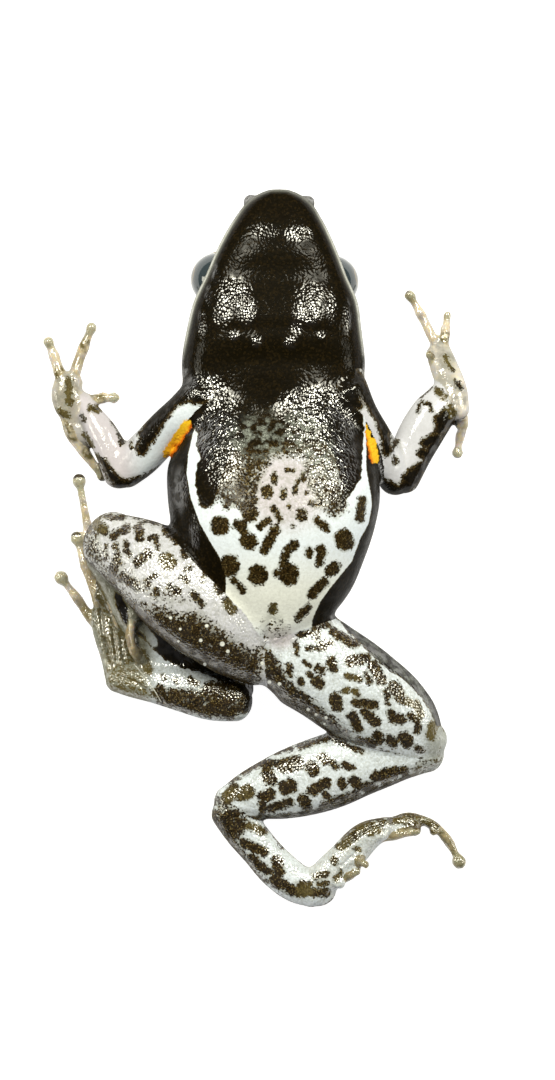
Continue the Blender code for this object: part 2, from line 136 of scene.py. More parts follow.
# Limb stations: x, y, z, half width, half depth
LIMBS = {
    "upper_arm_right": (
        (-4.25, 4.5, 3.9, 1.35, 1.6), (-5.35, 3.45, 3.6, 1.24, 1.5), (-6.4, 2.6, 3, 1.16, 1.25),
        (-7.3, 1.6, 2.3, 1.22, 1.15), (-8.2, 0.7, 1.7, 1.22, 1.15), (-9, 0.05, 1.3, 1.15, 1.12),
    ),
    "upper_arm_left": (
        (4.3, 4.8, 3.9, 1.3, 1.6), (5.1, 3.3, 3.7, 1.1, 1.4), (5.8, 2.1, 3.2, 1.1, 1.3),
        (6.5, 0.8, 2.4, 1.15, 1.2), (7.3, -0.4, 1.6, 1.15, 1.2),
    ),
    "forearm_right": (
        (-9.15, -0.1, 1.25, 1.2, 1.18), (-9.85, 1.2, 1.15, 1, 1.05), (-10.5, 2.4, 1, 0.9, 0.9),
        (-11.1, 3.4, 0.8, 0.66, 0.68), (-11.5, 4, 0.6, 0.5, 0.5),
    ),
    "forearm_left": (
        (7.55, -0.45, 1.4, 1.15, 1.25), (8.25, 1.2, 1.4, 1.28, 1.3), (9, 2.6, 1.4, 1.35, 1.25),
        (9.7, 3.7, 1.35, 1.25, 1.1), (10.1, 4.4, 1.25, 0.95, 0.9),
    ),
    "hand_right": (
        (-11.5, 3.75, 0.55, 0.65, 0.5), (-12.1, 3.75, 0.5, 0.95, 0.5), (-12.5, 4.4, 0.48, 0.95, 0.5),
        (-12.4, 5.4, 0.42, 0.85, 0.42),
    ),
    "hand_left": (
        (11.1, 3.5, 1.9, 0.6, 0.5), (10.75, 4.7, 1.6, 0.82, 0.52), (10.2, 6.1, 1, 0.85, 0.5),
        (9.8, 7.2, 0.6, 0.75, 0.42),
    ),
    "thigh_right": (
        (-0.9, -11.3, 3.5, 1.75, 1.8), (-2.3, -10.3, 4.1, 2.25, 2.1), (-3.6, -9.1, 4.9, 2.65, 2.2),
        (-5.5, -7.5, 5.2, 2.8, 2.2), (-7.6, -5.6, 4.4, 2.55, 2), (-9.9, -4.3, 3.2, 1.85, 1.5),
    ),
    "thigh_left": (
        (-0.6, -10.5, 3.4, 2.1, 2), (1.4, -11.1, 3.3, 2.95, 2.3), (3.3, -12.2, 3.1, 3, 2.4),
        (5.3, -13.6, 2.8, 2.95, 2.3), (7.2, -14.9, 2.4, 2.6, 2), (8.4, -15.75, 2, 2, 1.65),
        (9.15, -16.3, 1.6, 1.25, 1.4),
    ),
    "shank_right": (
        (-10.3, -5.1, 2, 1.2, 1.1), (-9, -6.3, 1.6, 1.75, 1.35), (-7.4, -8.35, 1.4, 2.25, 1.45),
        (-5.4, -10.65, 1.3, 2.2, 1.4), (-3.8, -12.1, 1.15, 1.7, 1.25), (-2.2, -13.3, 1, 1.05, 1.1),
    ),
    "shank_left": (
        (9.2, -16.95, 1.4, 1.2, 1.3), (7.2, -17, 1.6, 1.8, 1.65), (5.3, -17.4, 1.7, 2.1, 1.8),
        (3, -18.2, 1.7, 2.25, 1.8), (0.4, -19, 1.5, 2, 1.6), (-1.3, -19.5, 1.25, 1.56, 1.3),
        (-2.7, -20.1, 1.1, 1.15, 1.15),
    ),
    "tarsus_right": (
        (-2.3, -13.9, 2.5, 1.2, 0.9), (-3.6, -13.7, 2.5, 1.36, 1), (-5.4, -13.2, 2.3, 1.36, 1),
        (-7.2, -12.85, 1.9, 1.15, 0.95), (-8.8, -12.6, 1.4, 0.98, 0.85),
        (-9.5, -12.5, 1.15, 0.85, 0.75),
    ),
    "tarsus_left": (
        (-2.75, -20.5, 1.1, 1.15, 1.15), (-1.9, -21.6, 1, 1.2, 1.05), (-0.9, -22.8, 0.95, 1.15, 1),
        (0.2, -24, 0.95, 1.2, 1), (1.4, -24.9, 0.95, 1.15, 0.95), (2.3, -25.3, 0.95, 1, 0.9),
    ),
    "foot_right": (
        (-9.3, -12.3, 1, 0.95, 0.8), (-9.4, -11.1, 0.85, 1.1, 0.75), (-9.95, -9.7, 0.7, 1, 0.65),
        (-10.3, -8.8, 0.55, 0.85, 0.5),
    ),
    "foot_left": (
        (2.5, -24.9, 1, 1, 0.9), (4.1, -23.45, 1, 1.05, 0.95), (5.6, -21.95, 1, 0.9, 0.95),
        (6.8, -21.4, 0.9, 0.6, 0.85),
    ),
}
ROUND_ENDS = {
    "upper_arm": (0.5, 0.9),
    "forearm": (0.8, 0.8),
    "hand": (0.7, 0.6),
    "thigh": (0.7, 0.85),
    "shank": (0.8, 0.8),
    "tarsus": (0.8, 0.8),
    "foot": (0.7, 0.6),
}

# Digit paths from root to tip: x, y and the height over the level that digits lie at
DIGITS = {
    "hand_right": (
        ((-11.8, 3.9, 0.2), (-10.95, 4.2, 0.1), (-10.3, 4.35, 0.0), (-9.85, 4.35, 0.0)),
        ((-12.2, 4.9, 0.1), (-11.95, 6.1, 0.1), (-11.5, 7.4, 0.0), (-11.1, 8.4, 0.0)),
        ((-12.5, 4.9, 0.1), (-13.0, 6.0, 0.1), (-13.3, 6.9, 0.0), (-13.55, 7.55, 0.0)),
        ((-12.75, 3.6, 0.2), (-12.3, 2.2, 0.1), (-11.4, 1.0, 0.1), (-10.5, -0.2, 0.1)),
    ),
    "hand_left": (
        ((9.9, 6.2, 0.7), (9.45, 6.65, 0.7), (9.35, 6.8, 1.1)),
        ((9.8, 7.1, 0.3), (9.3, 8.3, 0.2), (8.75, 9.4, 0.0), (8.2, 10.35, 0.0)),
        ((10.1, 7.0, 0.3), (10.25, 8.2, 0.2), (10.35, 9.15, 0.0)),
        ((10.9, 4.2, 1.4), (11.35, 2.95, 0.9), (11.1, 1.9, 0.2), (11.0, 1.2, 0.1)),
    ),
    "foot_right": (
        ((-7.9, -11.8, 1.5), (-8.45, -10.9, 2.2), (-8.7, -9.9, 2.65), (-8.5, -8.9, 2.8)),
        ((-9.2, -10.3, 0.5), (-9.4, -9.2, 0.9), (-9.7, -8.1, 1.3), (-9.85, -7.4, 1.6)),
        ((-10.1, -9.3, 0.4), (-10.8, -7.4, 0.5), (-11.45, -5.6, 0.4), (-11.85, -4.25, 0.2)),
        ((-10.5, -9.2, 0.1), (-10.9, -6.6, 0.0), (-11.15, -4.2, 0.0), (-11.75, -0.8, 0.0)),
        ((-10.6, -9.6, 0.1), (-11.1, -8.9, 0.1), (-11.9, -7.7, 0.0), (-12.75, -6.6, 0.0)),
    ),
    "foot_left": (
        ((4.0, -24.2, 1.0), (4.4, -24.4, 1.3), (4.8, -24.2, 1.5)),
        ((4.9, -23.0, 1.2), (5.15, -23.5, 1.6), (5.3, -23.6, 2.0)),
        ((5.9, -22.2, 0.9), (7.2, -21.95, 1.0), (8.35, -21.75, 1.3)),
        ((6.4, -21.4, 0.5), (8, -20.85, 0.4), (9.5, -21.35, 0.2), (10.45, -22.35, 0), (11, -23.4, 0)),
        ((5.6, -21.7, 0.1), (7.0, -21.2, 0.0), (8.4, -21.4, 0.0)),
    ),
}

EYES = {"right": (-3.45, 11.45, 1.75), "left": (3.4, 11.3, 1.75)}
NOSTRILS = ((-1.45, 16.1, 2.0), (1.95, 16.05, 2.0))
NOSTRIL_RIM = 0.46

# Flesh that holds each eye from the side of the frog's back: its reach along X, Y and Z, and how far
# its middle lies from the eye's, inwards, towards the tail and down
BROW_REACH = (1.7, 1.85, 1.4)
BROW_STEP = (0.25, 0.1, 0.6)

# Flesh between the digits and behind the heel, as eggs: x and y in the photograph's pixels, height z
# and reach along X, Y and Z in mm, and the turn in degrees
WEBS = {
    "hand_right": ((76, 432, 0.55, 1.3, 0.5, 0.42, -52), (82, 400, 0.5, 0.8, 0.55, 0.4, -20)),
    "hand_left": ((455, 400, 1.4, 0.45, 1.1, 0.45, 0),),
    "foot_right": (
        (150, 655, 0.9, 1.1, 1.3, 0.5, 20), (118, 612, 0.8, 0.8, 1.4, 0.45, 25),
        (101, 598, 0.75, 0.6, 1.2, 0.5, 10),
    ),
    "foot_left": ((318, 894, 0.85, 1.1, 0.8, 0.8, 10), (400, 824, 0.85, 1.2, 0.5, 0.5, 5)),
}

# Pads under the palms and soles, in the photograph's pixels: x, y, height z and radius in mm
PADS = {
    "hand_right": (
        (84, 344, 0.4, 0.3), (76, 370, 0.55, 0.33), (57.6, 372, 0.5, 0.33), (90, 401, 0.6, 0.35),
        (62, 411, 0.75, 0.36),
    ),
    "hand_left": (
        (438.7, 366, 1.25, 0.34), (434, 338, 0.65, 0.3), (419.6, 312.5, 0.4, 0.28),
        (445, 328.7, 0.5, 0.3), (460, 384, 2, 0.34), (462, 424, 1, 0.42),
    ),
    "foot_left": (
        (358, 849, 1.75, 0.3), (339.5, 884, 1.75, 0.36), (382.5, 836, 1.75, 0.32),
        (415, 830, 0.95, 0.42), (433.7, 832, 0.7, 0.28),
    ),
    "foot_right": (
        (84, 566, 0.6, 0.3), (98, 596, 1.2, 0.3), (133, 612, 2.4, 0.34), (114, 612, 1.6, 0.28),
    ),
}

# Spots on the belly side, in the photograph's pixels: both ends of each spot and its radius
SPOTS = {
    "hand_right": ((68, 380, 69, 402, 4.0), (58, 410, 67, 416, 3.6)),
    "hand_left": ((445, 356, 452, 370, 2.4), (455, 380, 459, 387, 2.0)),
    "torso": (
        (220, 525.5, 220, 526, 10), (248, 507, 250, 514, 8.5), (254, 499, 250, 505, 4.5),
        (237, 525, 243, 524, 5), (243, 527, 245, 536, 5), (248, 541, 250, 542, 8.5),
        (241.5, 480, 241.5, 488, 9), (228.5, 501, 228.5, 503, 5), (207, 495, 206, 501, 7.5),
        (267, 490.5, 267, 493.5, 5.8), (274.3, 475.5, 274.5, 481.5, 3.6),
        (283.5, 491.5, 283.5, 497, 3.4), (286.5, 471, 293.5, 470.5, 2.2),
        (303, 474.5, 302.8, 479.5, 3.2), (298, 481, 294, 493, 2.6), (309, 485, 314, 485, 2.2),
        (306.4, 493, 306.4, 493, 2), (312, 504, 319, 504.5, 4), (301.4, 514, 301.4, 516, 5.8),
        (289.3, 506, 289.3, 508, 2), (274, 509, 276, 511, 3.5), (277, 514, 280, 520, 3.4),
        (260, 527, 268.5, 520, 3.8), (275.5, 529.5, 264.5, 550, 5.4), (292, 526.4, 293, 526.4, 2),
        (317, 521, 326, 528, 4.5), (343, 538, 345, 542, 9.5), (362, 500, 359.5, 519, 4.8),
        (293.5, 544, 293.5, 546.5, 5), (288, 549, 283, 564, 4.8), (276, 573, 282, 573, 4),
        (289, 573, 289, 576, 10), (258, 574, 258, 576, 10), (230, 564, 230, 567, 10),
        (234, 580, 243, 590, 3.8), (309, 551, 309, 554, 4.5), (320, 549, 322, 552, 5),
        (321, 556, 319, 563, 4.5), (335, 567, 330, 571, 6), (324, 582, 311.5, 594, 5.3),
        (307.5, 607.5, 298, 618, 4.4), (273, 607.5, 273, 610, 4.6), (318, 622, 316, 631, 5),
        (304, 635, 316, 633, 3.5), (320, 624, 330, 626, 3.5),
    ),
    "thigh_right": (
        (97, 524, 104, 530, 6), (113, 536, 127, 528, 4.6), (106, 517, 110, 516, 3),
        (114, 518, 124, 517, 3.4), (139, 528, 140, 537, 5.2), (138, 524, 150, 520, 2.2),
        (150, 521, 165, 524, 2.8), (165, 524, 171, 531, 3.6), (150, 538, 157, 537, 3),
        (156, 540, 158, 550, 2.8), (168, 531, 178, 539, 5.6), (186, 554, 195, 552, 5.6),
        (148, 554, 138, 562, 5.4), (166, 560, 169, 562, 8.3), (187, 569, 190, 568, 3.4),
        (183, 577, 187, 580, 3.8), (116, 545, 116, 547, 3.6), (126, 543, 126, 546, 3.6),
        (106, 545, 106, 559, 2), (127, 551, 129, 554, 3.8), (118, 555, 118, 558, 4),
        (117, 562, 113, 574, 5.4), (122, 577, 133, 583, 5.6), (136, 584, 138, 588, 4),
        (147, 581, 148, 584, 3.6), (152, 577, 156, 575, 3), (156, 590, 157, 594, 3.6),
        (170, 587, 178, 592, 4.4), (194, 594, 202, 604, 4), (219, 585, 219.5, 590, 5),
        (227, 602, 232, 610, 5.2), (242, 603, 242, 605, 2.4), (207, 556, 203, 582, 2.2),
        (91, 525, 89, 533, 3), (92, 543, 95, 550, 3), (86, 560, 90, 575, 3),
    ),
    "thigh_left": (
        (334, 632, 352, 643, 5.2), (349, 643, 356, 644, 4.4), (315, 622, 328, 625, 4.2),
        (316, 627, 316, 636, 4.8), (300, 635, 312, 633, 3.6), (321, 646, 328, 644, 5.2),
        (308, 648, 320, 648, 3), (296, 643, 297, 654, 2.6), (305, 662, 310, 666, 3),
        (317, 667, 322, 671, 4), (331, 661, 333, 668, 5.2), (289, 666, 290, 675, 3.8),
        (308, 674, 312, 677, 2.6), (316, 681, 320, 684, 6), (300, 680, 301, 683, 3.8),
        (350, 661, 366, 658, 5.8), (373, 665, 381, 680, 5.8), (347, 676, 360, 679, 3.8),
        (366, 674, 370, 682, 3.6), (344, 691, 347, 690, 3.6), (355, 691, 357, 694, 3.8),
        (335, 699, 337, 705, 6.8), (356, 702, 374, 705, 5.2), (365, 712, 376, 722, 5.6),
        (352, 716, 358, 728, 5.6), (394, 687, 400, 696, 6.8), (402, 699, 413, 704, 4.6),
        (416, 703, 421, 714, 4.2), (411, 716, 418, 722, 4.2), (418, 724, 417, 731, 4),
        (391, 713, 393, 719, 5), (396, 719, 401, 719, 5.6), (386, 690, 388, 704, 3),
        (378, 735, 379, 740, 5.6), (369, 741, 372, 744, 5.8), (358, 740, 361, 743, 5),
        (390, 740, 393, 743, 5.8), (404, 738, 407, 742, 7), (417, 748, 420, 750, 4),
        (432, 726, 431, 736, 5.2), (300, 694, 306, 698, 4.2), (292, 688, 296, 692, 4),
    ),
    "shank_left": (
        (300, 747, 330, 737, 3.4), (330, 737, 362, 752, 3), (276, 753, 292, 748, 2.6),
        (243, 773, 260, 763, 3.4), (262, 764, 274, 763, 4.4), (267, 772, 271, 780, 6.6),
        (284, 766, 296, 763, 8), (311, 767, 313, 770, 7), (322, 757, 325, 760, 5.2),
        (332, 763, 336, 766, 4), (344, 765, 352, 768, 3.6), (286, 788, 290, 786, 8),
        (263, 796, 271, 794, 5.8), (262, 803, 263, 811, 4.4), (270, 809, 290, 802, 5),
        (241, 796, 250, 793, 6), (243, 788, 249, 787, 3), (226, 800, 234, 789, 6.5),
        (231, 781, 238, 778, 3), (213, 800, 214, 816, 4.5), (312, 791, 326, 783, 6),
        (325, 794, 328, 797, 4), (303, 799, 307, 806, 6), (324, 806, 338, 800, 4.8),
        (341, 781, 343, 786, 4.6), (353, 780, 360, 786, 5.5), (367, 787, 373, 789, 6.4),
        (340, 799, 356, 794, 4.8), (376, 777, 394, 772, 6.6), (384, 781, 392, 786, 4.6),
        (404, 770, 406, 776, 5), (260, 816, 280, 818, 2.6),
    ),
    "tarsus_left": (
        (224, 826, 231, 836, 6), (241, 828, 246, 826, 4), (250, 826, 264, 832, 4.6),
        (243, 843, 264, 852, 5.4), (252, 858, 258, 866, 5.5), (262, 868, 268, 872, 5),
        (277, 861, 279, 872, 6.2), (275, 880, 283, 885, 6.2), (290, 890, 300, 893, 6),
        (300, 886, 308, 886, 5), (308, 892, 326, 893, 5), (318, 884, 326, 884, 3),
        (316, 877, 326, 874, 3.8), (333.7, 860, 334.5, 862, 4.2), (273, 835, 283, 848, 1.4),
        (338, 847, 353, 837, 3.6), (355, 827, 368, 822, 4.2), (356, 849, 358, 850, 3.4),
        (340, 872, 336, 880, 3), (371, 834, 380, 830, 2.8), (384, 822, 410, 817, 1.8),
    ),
    "shank_right": (
        (141, 652, 148, 670, 5), (163, 676, 164, 678, 3), (175, 680, 177, 682, 2.8),
        (190, 680, 196, 683, 4), (160, 690, 164, 702, 6), (208, 688, 214, 694, 6),
        (222, 706, 230, 715, 6),
    ),
    "foot_right": (
        (110, 672, 118, 682, 4.5), (118, 680, 138, 684, 3.5), (128, 676, 150, 690, 3),
        (131, 652, 146, 668, 5), (108, 604, 116, 640, 1.5), (121, 600, 127, 626, 4),
    ),
    "arm_right": (
        (206, 366, 198, 390, 16), (190, 372, 172, 390, 12), (198, 390, 172, 400, 9.5),
        (172, 400, 156, 421, 9.5), (156, 421, 147, 436, 10), (147, 436, 142, 449, 7.5),
        (104, 463, 111, 475, 5), (111, 475, 121, 485, 6.5), (121, 485, 140, 480, 5),
        (140, 480, 165, 466, 3.2), (120, 433, 122, 443, 3.2), (111, 420, 117, 430, 1.6),
        (91, 408, 98, 409, 4.2), (82, 415, 84, 421, 2), (84, 434, 92, 446, 2.8), (97, 456, 104, 464, 3),
        (131, 442, 132, 447, 1.8),
    ),
    "arm_left": (
        (345, 370, 356, 384, 12), (350, 398, 359, 405, 6), (356, 384, 368, 398, 9),
        (368, 398, 378, 413, 8), (378, 413, 385, 432, 7), (385, 432, 387, 451, 6),
        (396, 442, 395, 444, 3.8), (395.5, 458, 395.5, 463, 3), (381, 484, 400, 491, 7),
        (405, 488, 417, 475, 8.5), (413, 476, 424, 466, 6.5), (422, 453, 430, 456, 6),
        (426, 443, 436, 438, 6.5), (446, 414, 440, 430, 7), (436, 442, 428, 458, 7),
        (420, 468, 408, 478, 7), (440, 420, 450, 424, 7.5), (424, 470, 450, 430, 5),
        (419, 396, 430, 386, 3), (437, 390, 444, 397, 4), (449, 406, 454, 414, 3.2),
        (422, 402, 430, 404, 2.2), (430, 404, 432, 411, 2.2), (419, 405, 418, 412, 2),
        (458, 384, 459, 386, 3.6),
    ),
}
OLIVE_SPOTS = (
    (101, 525), (168, 561), (413, 703), (422, 711), (432, 730), (230, 795), (245, 793), (254, 829),
    (305, 892), (273, 608), (88, 440), (70, 390), (63, 410), (74, 433), (95, 407), (452, 410),
    (447, 360), (441, 394), (148, 673), (361, 824), (344, 842), (232, 605), (350, 676), (350, 692),
    (375, 835), (66, 382), (62, 398), (58, 374), (97, 399), (84, 344), (437, 352), (446, 340),
    (459, 400), (68, 425), (90, 452), (424, 820), (440, 832), (450, 848), (458, 860), (343, 882),
    (365, 848), (400, 826), (440, 838),
)
OLIVE_REACH = 11.0

# In the photograph's pixels: softness of the spots' edges, how much the spots shrink, the size of the
# waves that the markings' edges follow, and the row above which the dark flanks reach further round
SPOT_FUZZ = 5.0
SPOT_SHRINK = 0.4
RUFFLE = 0.4
SHOULDER_ROW = 424

# A mark's value well outside it, well inside it, and where it leaves no pale granule at all. On the
# mark's edge the value is 0.5, and about half of the granules show it
BARE = -0.5
FULL = 1.0
SOLID = 1.25

# Corners of areas with dark or crowded granules, in the photograph's pixels
THROAT_EDGE = (
    (198, 434), (196, 446), (201, 457), (197, 466), (195, 483), (198, 496), (200, 504), (207, 508),
    (213.5, 504), (220, 486), (226, 470), (232, 450), (240, 425), (262, 410), (290, 410), (310, 425),
    (328, 445), (338, 470), (341, 492), (338, 512), (344, 511), (346, 500), (352, 492), (358, 483),
    (361, 478), (362, 460), (364, 430), (362, 400), (380, 380), (380, 300), (160, 300), (160, 400),
    (188, 418),
)
CHEST_NOTCH = (
    (210, 506), (222, 498), (231, 486), (238, 474), (247, 462), (256, 474), (264, 474), (271, 460),
    (283, 457), (297, 457), (310, 456), (324, 458), (336, 470), (345, 476), (352, 474), (352, 380),
    (205, 380),
)
CHEST_STREAKS = (
    (298, 440), (314, 432), (336, 446), (348, 470), (350, 512), (336, 524), (318, 512), (306, 490),
    (300, 468),
)
CHEST_LEFT = (
    (212, 440), (255, 452), (264, 478), (258, 500), (240, 510), (222, 512), (212, 480),
)
SHOULDER_LEFT = ((334, 372), (352, 370), (361, 392), (358, 408), (350, 410), (338, 400))
THIGH_RIGHT_REAR = (
    (96, 560), (118, 572), (128, 588), (140, 598), (152, 603), (165, 604), (180, 610), (196, 607),
    (205, 612), (215, 620), (228, 630), (240, 640), (252, 645), (268, 640), (262, 700), (180, 700),
    (90, 620),
)
THIGH_RIGHT_MIDDLE = (
    (96, 548), (122, 548), (140, 572), (168, 582), (196, 596), (205, 612), (160, 610), (120, 592),
)
THIGH_LEFT_REAR = (
    (262, 640), (280, 656), (292, 678), (304, 690), (318, 700), (332, 712), (348, 726), (362, 742),
    (400, 752), (425, 756), (425, 790), (330, 770), (240, 700),
)
SHANK_LEFT_EDGE = (
    (205, 815), (258, 815), (300, 811), (340, 802), (375, 789), (400, 777), (420, 770), (420, 800),
    (300, 840), (200, 840),
)
SHANK_RIGHT_REAR = (
    (146, 688), (175, 686), (198, 688), (206, 680), (230, 678), (252, 690), (246, 712), (232, 722),
    (205, 719), (180, 714), (156, 706),
)
TARSUS_LEFT_EDGE = (
    (205, 806), (238, 806), (250, 822), (246, 834), (240, 842), (250, 858), (264, 876), (288, 890),
    (310, 890), (330, 892), (325, 899), (285, 896), (215, 860),
)
KNEE_RIGHT = (
    (78, 520), (95, 503), (110, 512), (103, 540), (108, 560), (120, 585), (110, 605), (85, 590),
)
FOOT_RIGHT = ((84, 560), (118, 580), (136, 640), (150, 672), (112, 700), (84, 600))
HEEL_RIGHT = ((100, 660), (140, 664), (160, 700), (130, 706), (104, 690))
VENT = ((256, 616), (276, 600), (290, 618), (300, 640), (296, 664), (262, 664), (252, 640))
# Painted shade as solid dark granules: in the gap between the right toes, and in the gap beside the
# right shank, there over the shank's own dark skin
TOE_GAP_SHADE = ((113, 590), (121, 594), (129, 608), (129, 622), (126, 628), (121, 618), (115, 605))
SHANK_GAP_SKIN_AND_SHADE = (
    (136, 634), (136, 621), (144, 618), (154, 628), (166, 640), (180, 652), (200, 661), (225, 668),
    (256, 676), (258, 712), (242, 714), (244, 697), (234, 686), (216, 679), (200, 672), (180, 668),
    (165, 660), (154, 650),
)
THIGH_LEFT_TOP = (
    (338, 616), (343, 627), (352, 636), (362, 645), (372, 656), (384, 667), (394, 674), (404, 680),
    (415, 691), (424, 702), (431, 714), (436, 728), (446, 724), (440, 690), (400, 640), (345, 600),
)
KNEE_LEFT = ((425, 752), (440, 745), (446, 765), (420, 785), (396, 792), (405, 772))
KNEE_LEFT_RIM = ((428, 700), (448, 712), (448, 765), (420, 768), (432, 735))
ANKLE_LEFT = ((200, 790), (215, 785), (228, 800), (250, 812), (240, 830), (205, 830))
FOOT_LEFT_EDGE = (
    (334, 850), (352, 822), (380, 812), (420, 812), (445, 826), (430, 836), (405, 826), (385, 826),
    (362, 838), (345, 852),
)

# Corners of the pale belly between the dark flanks
BELLY_EDGE = (
    (196, 425), (193, 434), (188.5, 455), (187, 474), (190.7, 497), (200, 523), (210, 541), (220, 557),
    (226, 575), (226, 620), (240, 690), (310, 690), (312, 620), (320, 601.5), (331.5, 586),
    (351.5, 561.5), (360, 538.5), (368.5, 523), (371.5, 506), (371, 497), (366, 469), (366, 430),
    (362, 380), (200, 380),
)

# The areas by group of parts: how dense their granules are, and over how many pixels they fade out
ZONES = (
    ("torso", THROAT_EDGE, SOLID, 3.0),
    ("torso", CHEST_NOTCH, 1.2, 38.0),
    ("torso", CHEST_STREAKS, 0.62, 20.0),
    ("torso", CHEST_LEFT, 0.7, 14.0),
    ("torso", SHOULDER_LEFT, SOLID, 3.0),
    ("arm_left", SHOULDER_LEFT, SOLID, 3.0),
    ("thigh_right", THIGH_RIGHT_REAR, 0.88, 36.0),
    ("thigh_right", THIGH_RIGHT_MIDDLE, 0.36, 26.0),
    ("thigh_right", KNEE_RIGHT, 0.55, 16.0),
    ("torso", VENT, 0.3, 20.0),
    ("thigh_left", THIGH_LEFT_REAR, 0.85, 24.0),
    ("thigh_left", KNEE_LEFT_RIM, 0.1, 14.0),
    ("thigh_left", THIGH_LEFT_TOP, SOLID, 3.0),
    ("shank_left", SHANK_LEFT_EDGE, 0.9, 6.0),
    ("shank_left", KNEE_LEFT, 0.4, 8.0),
    ("shank_left", ANKLE_LEFT, 0.65, 14.0),
    ("shank_right", SHANK_RIGHT_REAR, 0.85, 14.0),
    # Painted shade in the gaps beside the right shank and between the right toes
    ("shank_right", SHANK_GAP_SKIN_AND_SHADE, SOLID, 4.0),
    ("shank_right", TOE_GAP_SHADE, SOLID, 3.0),
    ("foot_right", TOE_GAP_SHADE, SOLID, 3.0),
    ("foot_right", FOOT_RIGHT, 0.55, 20.0),
    ("shank_right", HEEL_RIGHT, 0.55, 20.0),
    ("tarsus_left", TARSUS_LEFT_EDGE, 0.8, 12.0),
    ("tarsus_left", FOOT_LEFT_EDGE, 0.7, 4.0),
)

# White dots: x, y and radius in the photograph's pixels
WHITE_DOTS = (
    (201, 640, 1.8), (222.5, 643.7, 2.4), (228, 651, 1.8), (180.6, 628.7, 1.4), (207, 625.5, 1.8),
    (171, 617.5, 1.6), (178.7, 641, 1.2), (205, 664, 1.6), (269.4, 682, 2), (279.4, 683.7, 1.8),
    (262, 663, 1.7), (308, 709.4, 1.6), (316, 714.4, 1.4), (326, 717.5, 1.6), (324.4, 723.7, 1.2),
)

# Softness of the white dots' edges and of the painted highlight, the painted highlight along the skin
# edge of the right heel with its half width, and a pale patch along a line in the gap beside the right
# shank, in the photograph's pixels
DOT_FUZZ = 1.2
HEEL_HIGHLIGHT = ((134, 664), (143, 675), (150, 684), (156, 693), (161, 702))
HIGHLIGHT_WIDTH = 0.4
GAP_PATCH = ((141, 626), (147, 632), (154, 643))

# Orange flash marks where the arms meet the body: both ends and radius in the photograph's pixels,
# the columns that hold them, and the way towards their redder, darker side, which is partly painted
# shade
FLASHES = {
    "arm_right": ((187, 425, 168, 453, 5.4),),
    "arm_left": ((366, 424, 367, 432, 1.0), (367.5, 432, 369.5, 442, 3.0), (371, 442, 374.5, 459, 5.0)),
}
FLASH_REACH = {"arm_right": (160, 195), "arm_left": (361, 384)}
FLASH_SHADE_SIDE = {"arm_right": (0.82, 0.58), "arm_left": (-0.97, 0.24)}

# Fine grooves in the skin: group, line in the photograph's pixels, depth and half width in mm
GROOVES = (
    ("foot_left", ((340, 849), (350, 843), (360, 835), (370, 829), (385, 824)), 0.1, 0.1),
    ("foot_left", ((341, 866), (353, 856), (361, 846)), 0.08, 0.09),
    ("foot_right", ((99, 600), (102, 630), (108, 660)), 0.13, 0.1),
    ("foot_right", ((110, 612), (114, 640), (117, 665)), 0.12, 0.1),
    ("foot_right", ((120, 630), (123, 655), (128, 672)), 0.1, 0.1),
    ("foot_right", ((104, 640), (110, 668), (118, 684)), 0.12, 0.1),
    ("foot_right", ((118, 596), (124, 622), (130, 646)), 0.2, 0.14),
    ("tarsus_right", ((137, 665), (150, 683), (163, 702)), 0.07, 0.1),
    ("tarsus_right", ((118, 676), (135, 682), (150, 694)), 0.07, 0.12),
    ("torso", ((263, 655), (266, 640), (270, 622), (272, 612)), 0.12, 0.16),
    ("torso", ((274, 650), (276, 636), (274, 620)), 0.08, 0.12),
    ("arm_left", ((391, 441), (396, 450), (397, 466)), 0.1, 0.12),
    ("arm_right", ((132, 440), (134, 450), (131, 462)), 0.08, 0.12),
)

# Folds across the throat: y in the photograph's pixels, height and half width in mm
THROAT_ROLLS = ((328, -0.07, 0.45), (360, -0.04, 0.6))

# The throat's middle and half width along X in mm, and how far its folds bend down at the sides, in
# the photograph's pixels
THROAT_MIDDLE = 0.1
THROAT_HALF = 5.2
THROAT_BEND = 9

# Low swellings of the throat and chest: x and y in the photograph's pixels, height and reach in mm
SWELLINGS = (
    (236, 302, 0.08, 1), (314, 312, 0.08, 1), (234, 337, 0.05, 0.3), (257, 344, 0.07, 0.4),
    (291, 345, 0.08, 0.45), (322, 338, 0.04, 0.3), (222, 438, 0.3, 1.7), (322, 414, 0.3, 1.7),
    (334, 468, 0.2, 1.5), (268, 420, -0.3, 1.5),
)

# Paleness of the lip by the distance inside the head's outline, and the rows in which it fades out
# at the corners of the mouth and comes in at the snout, in the photograph's pixels
LIP_SHADES = ((-1, 0, 0.8, 1.6, 2.4, 3.4, 5.0), (0.3, 0.4, 0.6, 0.8, 0.3, 0.12, 0.0))
LIP_ENDS = (335, 365)
LIP_STARTS = (200, 240)

# The skin by the start of a part's name, a later row winning: height of its granules in mm, its finer
# relief, how grey its pale ground is mottled, how see-through its flesh is, how wet it is, and how
# much wetter in the glittering patches
SKINS = {
    "head": (0.004, 0.3, 0.0, 0.0, 0.04, 0.96),
    "torso": (0.004, 0.3, 0.15, 0.0, 0.04, 0.96),
    "upper_arm": (0.005, 0.35, 0.1, 0.0, 0.15, 0.7),
    "forearm": (0.0, 0.2, 0.1, 0.0, 0.3, 0.0),
    "hand": (0.0, 0.2, 0.1, 0.6, 0.3, 0.0),
    "digit_hand": (0.0, 0.2, 0.1, 1.0, 0.7, 0.0),
    "thigh": (0.008, 0.65, 0.4, 0.0, 0.7, 0.0),
    "shank": (0.008, 0.65, 0.4, 0.0, 0.7, 0.0),
    "tarsus": (0.006, 0.75, 0.45, 0.0, 0.7, 0.0),
    "foot": (0.006, 0.75, 0.45, 0.6, 0.7, 0.0),
    "foot_left": (0.006, 0.75, 0.45, 0.15, 0.7, 0.0),
    "digit_foot": (0.006, 0.75, 0.45, 1.0, 0.7, 0.0),
}
GRANULE_SIZE = 0.22

